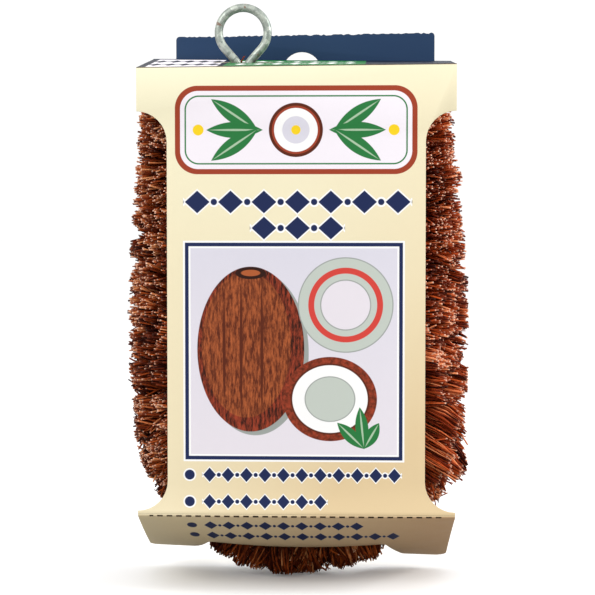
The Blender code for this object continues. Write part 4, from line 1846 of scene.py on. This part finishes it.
    def clumps(self, rng: Random, start: float, end: float) -> Clumps:
        """Place the clumps of one bundle, in rows along the line.

        Args:
            rng: Seeded random numbers.
            start: Where the bundle starts along the line.
            end: Where it ends.

        Returns:
            The clumps.
        """
        rows, rounds = self.clumps_along, self.clumps_round
        count = rounds * rows
        row, column = np.divmod(np.arange(count), rounds)
        cell = ((end - start) / rows, 2 * math.pi / rounds)
        jitter = self.clump_jitter
        s = start + (row + 0.5 + rng.uniform(-jitter, jitter, count)) * cell[0]
        turn = (column + 0.5 * (row % 2) + rng.uniform(-jitter, jitter, count)) * cell[1]
        lowered = self.lowered(s)
        least, more = self.right_ragged
        ragged = np.where(s > self.path.middle, least + more * lowered, self.left_ragged)
        reach = self.trim(s) * (1 - ragged * rng.random(count) ** 1.6)
        least, more = self.row_step
        stepped = np.where(s - self.path.middle > self.nose_half, least + more * lowered, least)
        reach *= self.row_most - stepped * rng.random(rows)[row]
        bent = self.path.leg < (start + end) / 2 < self.path.leg + self.path.bend
        lean = rng.normal(0, self.clump_lean, count)
        swing = rng.normal(0, self.clump_swing, count)
        tint = rng.normal(0, self.clump_tint, count)
        return Clumps(bent, cell, s, turn, reach, lean, swing, tint)

    def weight(self, clumps: Clumps) -> Array:
        """How much of a bundle's fibre each clump has: more outside than inside, most at the nose.

        Args:
            clumps: The bundle's clumps.

        Returns:
            Shares that add up to one.
        """
        cosine = np.cos(clumps.turn)
        least, more = self.outer_weight
        weight = least + more * np.clip(cosine * 1.2 + 1.0, 0, 1)
        low = np.abs(clumps.s - self.path.middle) < self.nose_half
        nose = self.nose_more * np.exp(-((wrapped(clumps.turn) - 0.1) / 0.35) ** 2)
        weight = weight + np.where(low, nose, 0.0)
        if clumps.bent:
            weight = weight * (1.3 + cosine)
        return weight / weight.sum()

    def lines(self, rng: Random, start: float, end: float) -> tuple[Array, Array, Array]:
        """Centre lines of one bundle's fibres, drawn together in clumps.

        Args:
            rng: Seeded random numbers.
            start: Where the bundle starts along the line.
            end: Where it ends.

        Returns:
            Points of each fibre, ring by ring, each fibre's tint and how far painted shade dulls it.
        """
        clumps = self.clumps(rng, start, end)
        weight = self.weight(clumps)
        if clumps.bent:
            turn = wrapped(clumps.turn)
            pulled = np.abs(turn) < self.bend_face
            clumps.turn = np.where(pulled, clumps.turn - self.bend_pull * turn, clumps.turn)
        fibres = self.bend_fibres if clumps.bent else self.leg_fibres
        pick = rng.choice(len(weight), fibres, p=weight)
        own = clumps.of(pick)
        share = np.array(self.rings)[None, :]
        s, turn = self.gathered(rng, own, share)
        bow = rng.normal(0, self.bow, (fibres, 1)) * np.sin(math.pi * share)
        groove = self.groove(s[:, -1], turn[:, -1])
        full = self.reach(rng, own, groove)
        stray = rng.random(fibres) < self.stray_share
        s = s + bow + np.where(stray, rng.normal(0, self.stray_s, fibres), 0.0)[:, None] * share ** 2
        turn = turn + np.where(stray, rng.normal(0, self.stray_turn, fibres), 0.0)[:, None] * share ** 2
        s = np.clip(s, -self.end_room, self.path.total + self.end_room)
        turn = self.through_recess(turn, s)
        radius = self.root + (full[:, None] - self.root) * share
        kink = rng.normal(0, self.kink, (fibres, share.size, 3)) * share[..., None]
        points = self.path.place(s, radius, turn) + kink
        way = np.sign(rng.normal(self.sweep_bias, 1, len(weight)))[pick]
        points = self.kept_clear(points, s, way * rng.uniform(0.0, self.sweep_most, fibres))
        return points, *self.colours(rng, own, groove)

    def gathered(self, rng: Random, own: Clumps, share: Array) -> tuple[Array, Array]:
        """Lay fibres round their clumps, drawn together, drooping and combed towards their tips.

        Args:
            rng: Seeded random numbers.
            own: Each fibre's clump.
            share: Shares of the length of a fibre.

        Returns:
            Length along the line and turn of each fibre's points.
        """
        side_s = rng.normal(0, self.side_spread, own.s.size)
        side_turn = rng.normal(0, self.side_spread, own.s.size)
        right = own.s > self.path.middle
        lowered = self.lowered(own.s)
        loose, locked = self.leg_gather
        drawn = loose + (locked - loose) * np.where(right, 1.0, self.left_gather) * lowered
        gather = 1.0 - np.where(own.bent, self.bend_gather, drawn)[:, None] * share ** 1.5
        s = own.s[:, None] + side_s[:, None] * own.cell[0] * gather + own.lean[:, None] * share ** 2
        turn = own.turn[:, None] + side_turn[:, None] * own.cell[1] * gather
        turn = turn + own.swing[:, None] * share ** 2
        past_nose = np.clip((own.s - self.path.middle - self.nose_half / 2) / self.droop_fade, 0, 1)
        s = s - (self.droop * lowered * past_nose)[:, None] * share ** 1.7
        comb = np.where(right, self.comb[1], self.comb[0]) * lowered
        return s, turn - self.combed(turn[:, -1], comb, share)

    def reach(self, rng: Random, own: Clumps, groove: Array) -> Array:
        """How far each fibre's tip reaches from the line.

        Args:
            rng: Seeded random numbers.
            own: Each fibre's clump.
            groove: Depth of each tip in a groove, from 0 to 1.

        Returns:
            Distances from the line.
        """
        full = self.path.brush_radius * own.reach
        full = full * (1 - self.fibre_ragged * rng.random(own.s.size) ** 1.5)
        full *= 1 - self.groove_depth * groove
        short = rng.random(own.s.size) < self.short_share
        full[short] *= rng.uniform(*self.short_reach, short.sum())
        return full

    def colours(self, rng: Random, own: Clumps, groove: Array) -> tuple[Array, Array]:
        """Colour each fibre: painted shade darkens the grooves and the nose and dulls the left flank and
        the nose, painted light brightens the right flank, and the left leg is lighter near its top.

        Args:
            rng: Seeded random numbers.
            own: Each fibre's clump.
            groove: Depth of each tip in a groove, from 0 to 1.

        Returns:
            Each fibre's tint and how far painted shade dulls it, both from 0 to 1.
        """
        right = own.s > self.path.middle
        from_middle = np.abs(own.s - self.path.middle)
        nose = np.clip((2.0 * self.nose_half - from_middle) / (0.8 * self.nose_half), 0, 1)
        # painted shade in the grooves and at the nose, painted light and shade on the two flanks
        tint = self.tint + self.nose_painted_shade * nose + self.groove_painted_shade * groove + own.tint
        tint = tint + rng.normal(0, self.fibre_tint, own.s.size)
        left_tint = self.side_painted_light_and_shade[0] + self.top_tint * (1 - self.lowered(own.s)) ** 2
        tint = tint + np.where(right, self.side_painted_light_and_shade[1], left_tint)
        age = np.where(right, self.side_shade_dulling[1], self.side_shade_dulling[0])
        return np.clip(tint, 0, 1), age + (self.nose_shade_dulling - age) * nose

    def lowered(self, s: Array) -> Array:
        """How far down a leg a length along the line lies, from 0 near the top to 1 at the bend."""
        from_top = np.minimum(s, self.path.total - s)
        return np.clip((from_top - self.comb_from) / (self.comb_full - self.comb_from), 0, 1)

    def combed(self, turn: Array, amount: Array, share: Array) -> Array:
        """How far the card has laid front fibres over, towards the outside.

        Args:
            turn: Turn of each fibre's tip, from outward towards the back.
            amount: Share of the turn that the tip gives up.
            share: Shares of the length of a fibre.

        Returns:
            The change of turn at each point of each fibre.
        """
        near = wrapped(turn)
        front = np.where((near < 0) & (near > self.comb_front), near, 0.0)
        return (front * amount)[:, None] * share ** 1.5

    def groove(self, s: Array, turn: Array) -> Array:
        """Depth, from 0 to 1, of the two grooves that the wire's twist winds round the fibre."""
        phase = (s / self.groove_pitch - turn / (2 * math.pi)) * 2
        return np.exp(-((phase - np.rint(phase)) * self.groove_pitch / 2 / self.groove_half) ** 2)

    def through_recess(self, turn: Array, s: Array) -> Array:
        """Turn fibres that would meet the edge of the flap's recess back through it.

        Args:
            turn: Turns of each fibre's points, from outward towards the back.
            s: Their lengths along the line.

        Returns:
            The turns, with those near the edge moved behind it.
        """
        near = wrapped(turn)
        low = np.abs(s - self.path.middle) < self.nose_half
        pushed = self.nose_turn * (0.2 + 0.8 * (near / self.nose_turn + 1) / 2)
        return np.where(low & (np.abs(near) < self.nose_turn), pushed, turn)

    def kept_clear(self, points: Array, s: Array, swept: Array) -> Array:
        """Bend fibres along the card, off the other leg and over the flap.

        Args:
            points: Points of each fibre.
            s: Their lengths along the line.
            swept: Share and sign of each fibre's sideways sweep where the card stops it.

        Returns:
            The points, moved to where the card lets them lie.
        """
        x, y, z = np.moveaxis(points, -1, 0)
        half = -self.path.depth_y - self.sleeve.board - self.thick
        beside = y - self.path.depth_y
        held = np.sign(beside) * self.held_under(np.abs(beside), half, self.card_soft)
        lost = np.abs(beside) - np.abs(held)
        y = self.path.depth_y + held
        _, along, _ = self.path.frames(s)
        x = x + along[..., 0] * lost * swept[:, None]
        z = z + along[..., 2] * lost * swept[:, None]
        own_side = np.sign(s - self.path.middle)
        on_leg = (s < self.path.leg) | (s > self.path.leg + self.path.bend)
        x = np.where(on_leg, own_side * self.raised(x * own_side, self.leg_soft), x)
        z = np.minimum(z, self.path.top_z + self.end_room)
        z = self.over_flap(np.stack([x, y, z], -1))
        low, high = (np.array(corner) for corner in CAD_BOUNDS)
        inset = self.thick / 2
        x = np.clip(x, low[0] + inset, high[0] - inset)
        return np.stack([x, y, np.maximum(z, low[2] + inset)], -1)

    def over_flap(self, points: Array) -> Array:
        """Lift fibres that would pierce the flap on to it, and let the rest through its recess.

        Args:
            points: Points of each fibre.

        Returns:
            The heights of the points.
        """
        steps = np.linspace(0.2, 1, 5)[:, None]
        spans = (points[:, 1:] - points[:, :-1])[:, :, None]
        finer = (points[:, :-1, None] + spans * steps).reshape(len(points), -1, 3)
        x, y, z = np.moveaxis(finer, -1, 0)
        beneath = z < self.sleeve.flap_z(x, y) + self.thick
        free = y > self.path.depth_y + self.recess_room
        free &= np.abs(x - self.sleeve.recess_middle(y)) < self.sleeve.recess_half(y) - self.recess_room
        blocked = (beneath & ~free).any(1)[:, None]
        floor = self.sleeve.flap_z(points[..., 0], points[..., 1]) + self.thick
        lifted = floor + self.raised(points[..., 2] - floor, self.flap_soft)
        return np.where(blocked, lifted, points[..., 2])

    def trim(self, s: Array) -> Array:
        """Share of the brush's radius that the fibres reach at lengths along the line."""
        from_top = np.minimum(s, self.path.total - s)
        return np.where(s < self.path.middle, *(np.interp(from_top, *zip(*rows)) for rows in self.trims))

    @staticmethod
    def held_under(value: Array, limit: float, soft: float) -> Array:
        """Hold values under a limit, bending over softly below it."""
        past = np.maximum(value - (limit - soft), 0.0)
        return np.where(past > 0, limit - soft * np.exp(-past / soft), value)

    @staticmethod
    def raised(value: Array, soft: float) -> Array:
        """Hold values above zero, bending over softly above it."""
        past = np.maximum(soft - value, 0.0)
        return np.where(past > 0, soft * np.exp(-past / soft), value)

    def thicken(self, rng: Random, lines: Array, pattern: Array) -> Array:
        """Lay the modelled fibre along each centre line.

        Args:
            rng: Seeded random numbers.
            lines: Points of each fibre, ring by ring.
            pattern: Vertices of the modelled fibre.

        Returns:
            Vertices of every fibre, as rows.
        """
        along = np.gradient(lines, axis=1)
        along /= np.linalg.norm(along, axis=-1, keepdims=True) + TINY
        hint = rng.normal(0, 1, (len(lines), 1, 3))
        side = np.cross(along, np.broadcast_to(hint, along.shape))
        side /= np.linalg.norm(side, axis=-1, keepdims=True) + TINY
        beside = np.cross(along, side)
        ring = np.abs(pattern[:, 2][:, None] - np.array(self.rings)[None, :]).argmin(1)
        width = self.thick * rng.uniform(*self.thick_range, len(lines))
        wide, deep = (pattern[:, axis][None, :, None] for axis in (0, 1))
        across = wide * side[:, ring] + deep * beside[:, ring]
        return (lines[:, ring] + across * width[:, None, None]).reshape(-1, 3)


@dataclass
class Studio:
    """Camera at the photograph's angle, pale floor and soft light."""

    distance: float = 0.4991
    face_y: float = -0.039
    camera_x: float = 0.0224
    camera_z: float = -0.0400
    yaw_deg: float = 2.52
    pitch_deg: float = 2.68
    focal_pixels: float = 1858.0
    frame_pixels: float = 595.0
    sensor_mm: float = 36.0
    floor_size: float = 12.0
    floor_gap: float = 0.0006
    floor_rough: float = 0.95
    floor_pale: Colour = (0.97, 0.97, 0.97)
    floor_bounce: Colour = (0.36, 0.35, 0.33)
    surround: float = 1.05
    lights: tuple = (("key", (0.80, -0.07, 0.30), 4.4, 0.3), ("fill", (-0.55, -0.62, 0.45), 3.2, 0.4))
    aim: tuple = (0.0, -0.02, -0.07)

    def build(self) -> None:
        """Place the camera, the floor and the lights."""
        self.camera()
        self.floor()
        self.world()
        for light in self.lights:
            self.area(*light)

    def camera(self) -> None:
        """Camera with the photograph's lens and tilt."""
        data = bpy.data.cameras.new("camera")
        data.sensor_width = self.sensor_mm
        data.lens = self.focal_pixels / self.frame_pixels * self.sensor_mm
        data.clip_start = 0.01
        item = Bench.link("camera", data)
        item.location = (self.camera_x, self.face_y - self.distance, self.camera_z)
        item.rotation_euler = (math.radians(90 - self.pitch_deg), 0, math.radians(self.yaw_deg))
        bpy.context.scene.camera = item

    def floor(self) -> None:
        """Pale floor just under the brush, duller to the light that it throws back."""
        low, _ = CAD_BOUNDS
        bpy.ops.mesh.primitive_plane_add(size=self.floor_size, location=(0, 0, low[2] - self.floor_gap))
        item = bpy.context.object
        item.name = "studio_floor"
        made = bpy.data.materials.new("studio_floor")
        made.use_nodes = True
        graph = Graph(made.node_tree)
        shader = made.node_tree.nodes["Principled BSDF"]
        seen = graph.node("ShaderNodeLightPath").outputs["Is Camera Ray"]
        graph.feed(shader.inputs["Base Color"], graph.mix(seen, self.floor_bounce, self.floor_pale))
        shader.inputs["Roughness"].default_value = self.floor_rough
        item.data.materials.append(made)

    def world(self) -> None:
        """White surround, shown without a film curve."""
        world = bpy.data.worlds.new("surround")
        bpy.context.scene.world = world
        world.use_nodes = True
        surround = world.node_tree.nodes["Background"]
        surround.inputs["Color"].default_value = (1, 1, 1, 1)
        surround.inputs["Strength"].default_value = self.surround
        bpy.context.scene.view_settings.view_transform = "Standard"

    def area(self, name: str, place: tuple, power: float, size: float) -> None:
        """Add one area light that looks at the middle of the object.

        Args:
            name: The light's name.
            place: Where it stands.
            power: Its power in watts.
            size: Width of its square.
        """
        data = bpy.data.lights.new(name, "AREA")
        data.energy = power
        data.size = size
        item = Bench.link(name, data)
        item.location = place
        item.rotation_euler = (Vector(self.aim) - Vector(place)).to_track_quat("-Z", "Y").to_euler()


def main() -> None:
    """Build the sleeve, the wire, the fibre and the studio."""
    logging.basicConfig(level=logging.INFO, format="%(name)s: %(message)s")
    path = BrushPath()
    sleeve = CardSleeve()
    Studio().build()
    sleeve.build()
    HangingWire(path).build()
    CoirBrush(path, sleeve).build()


if __name__ == "__main__":
    main()
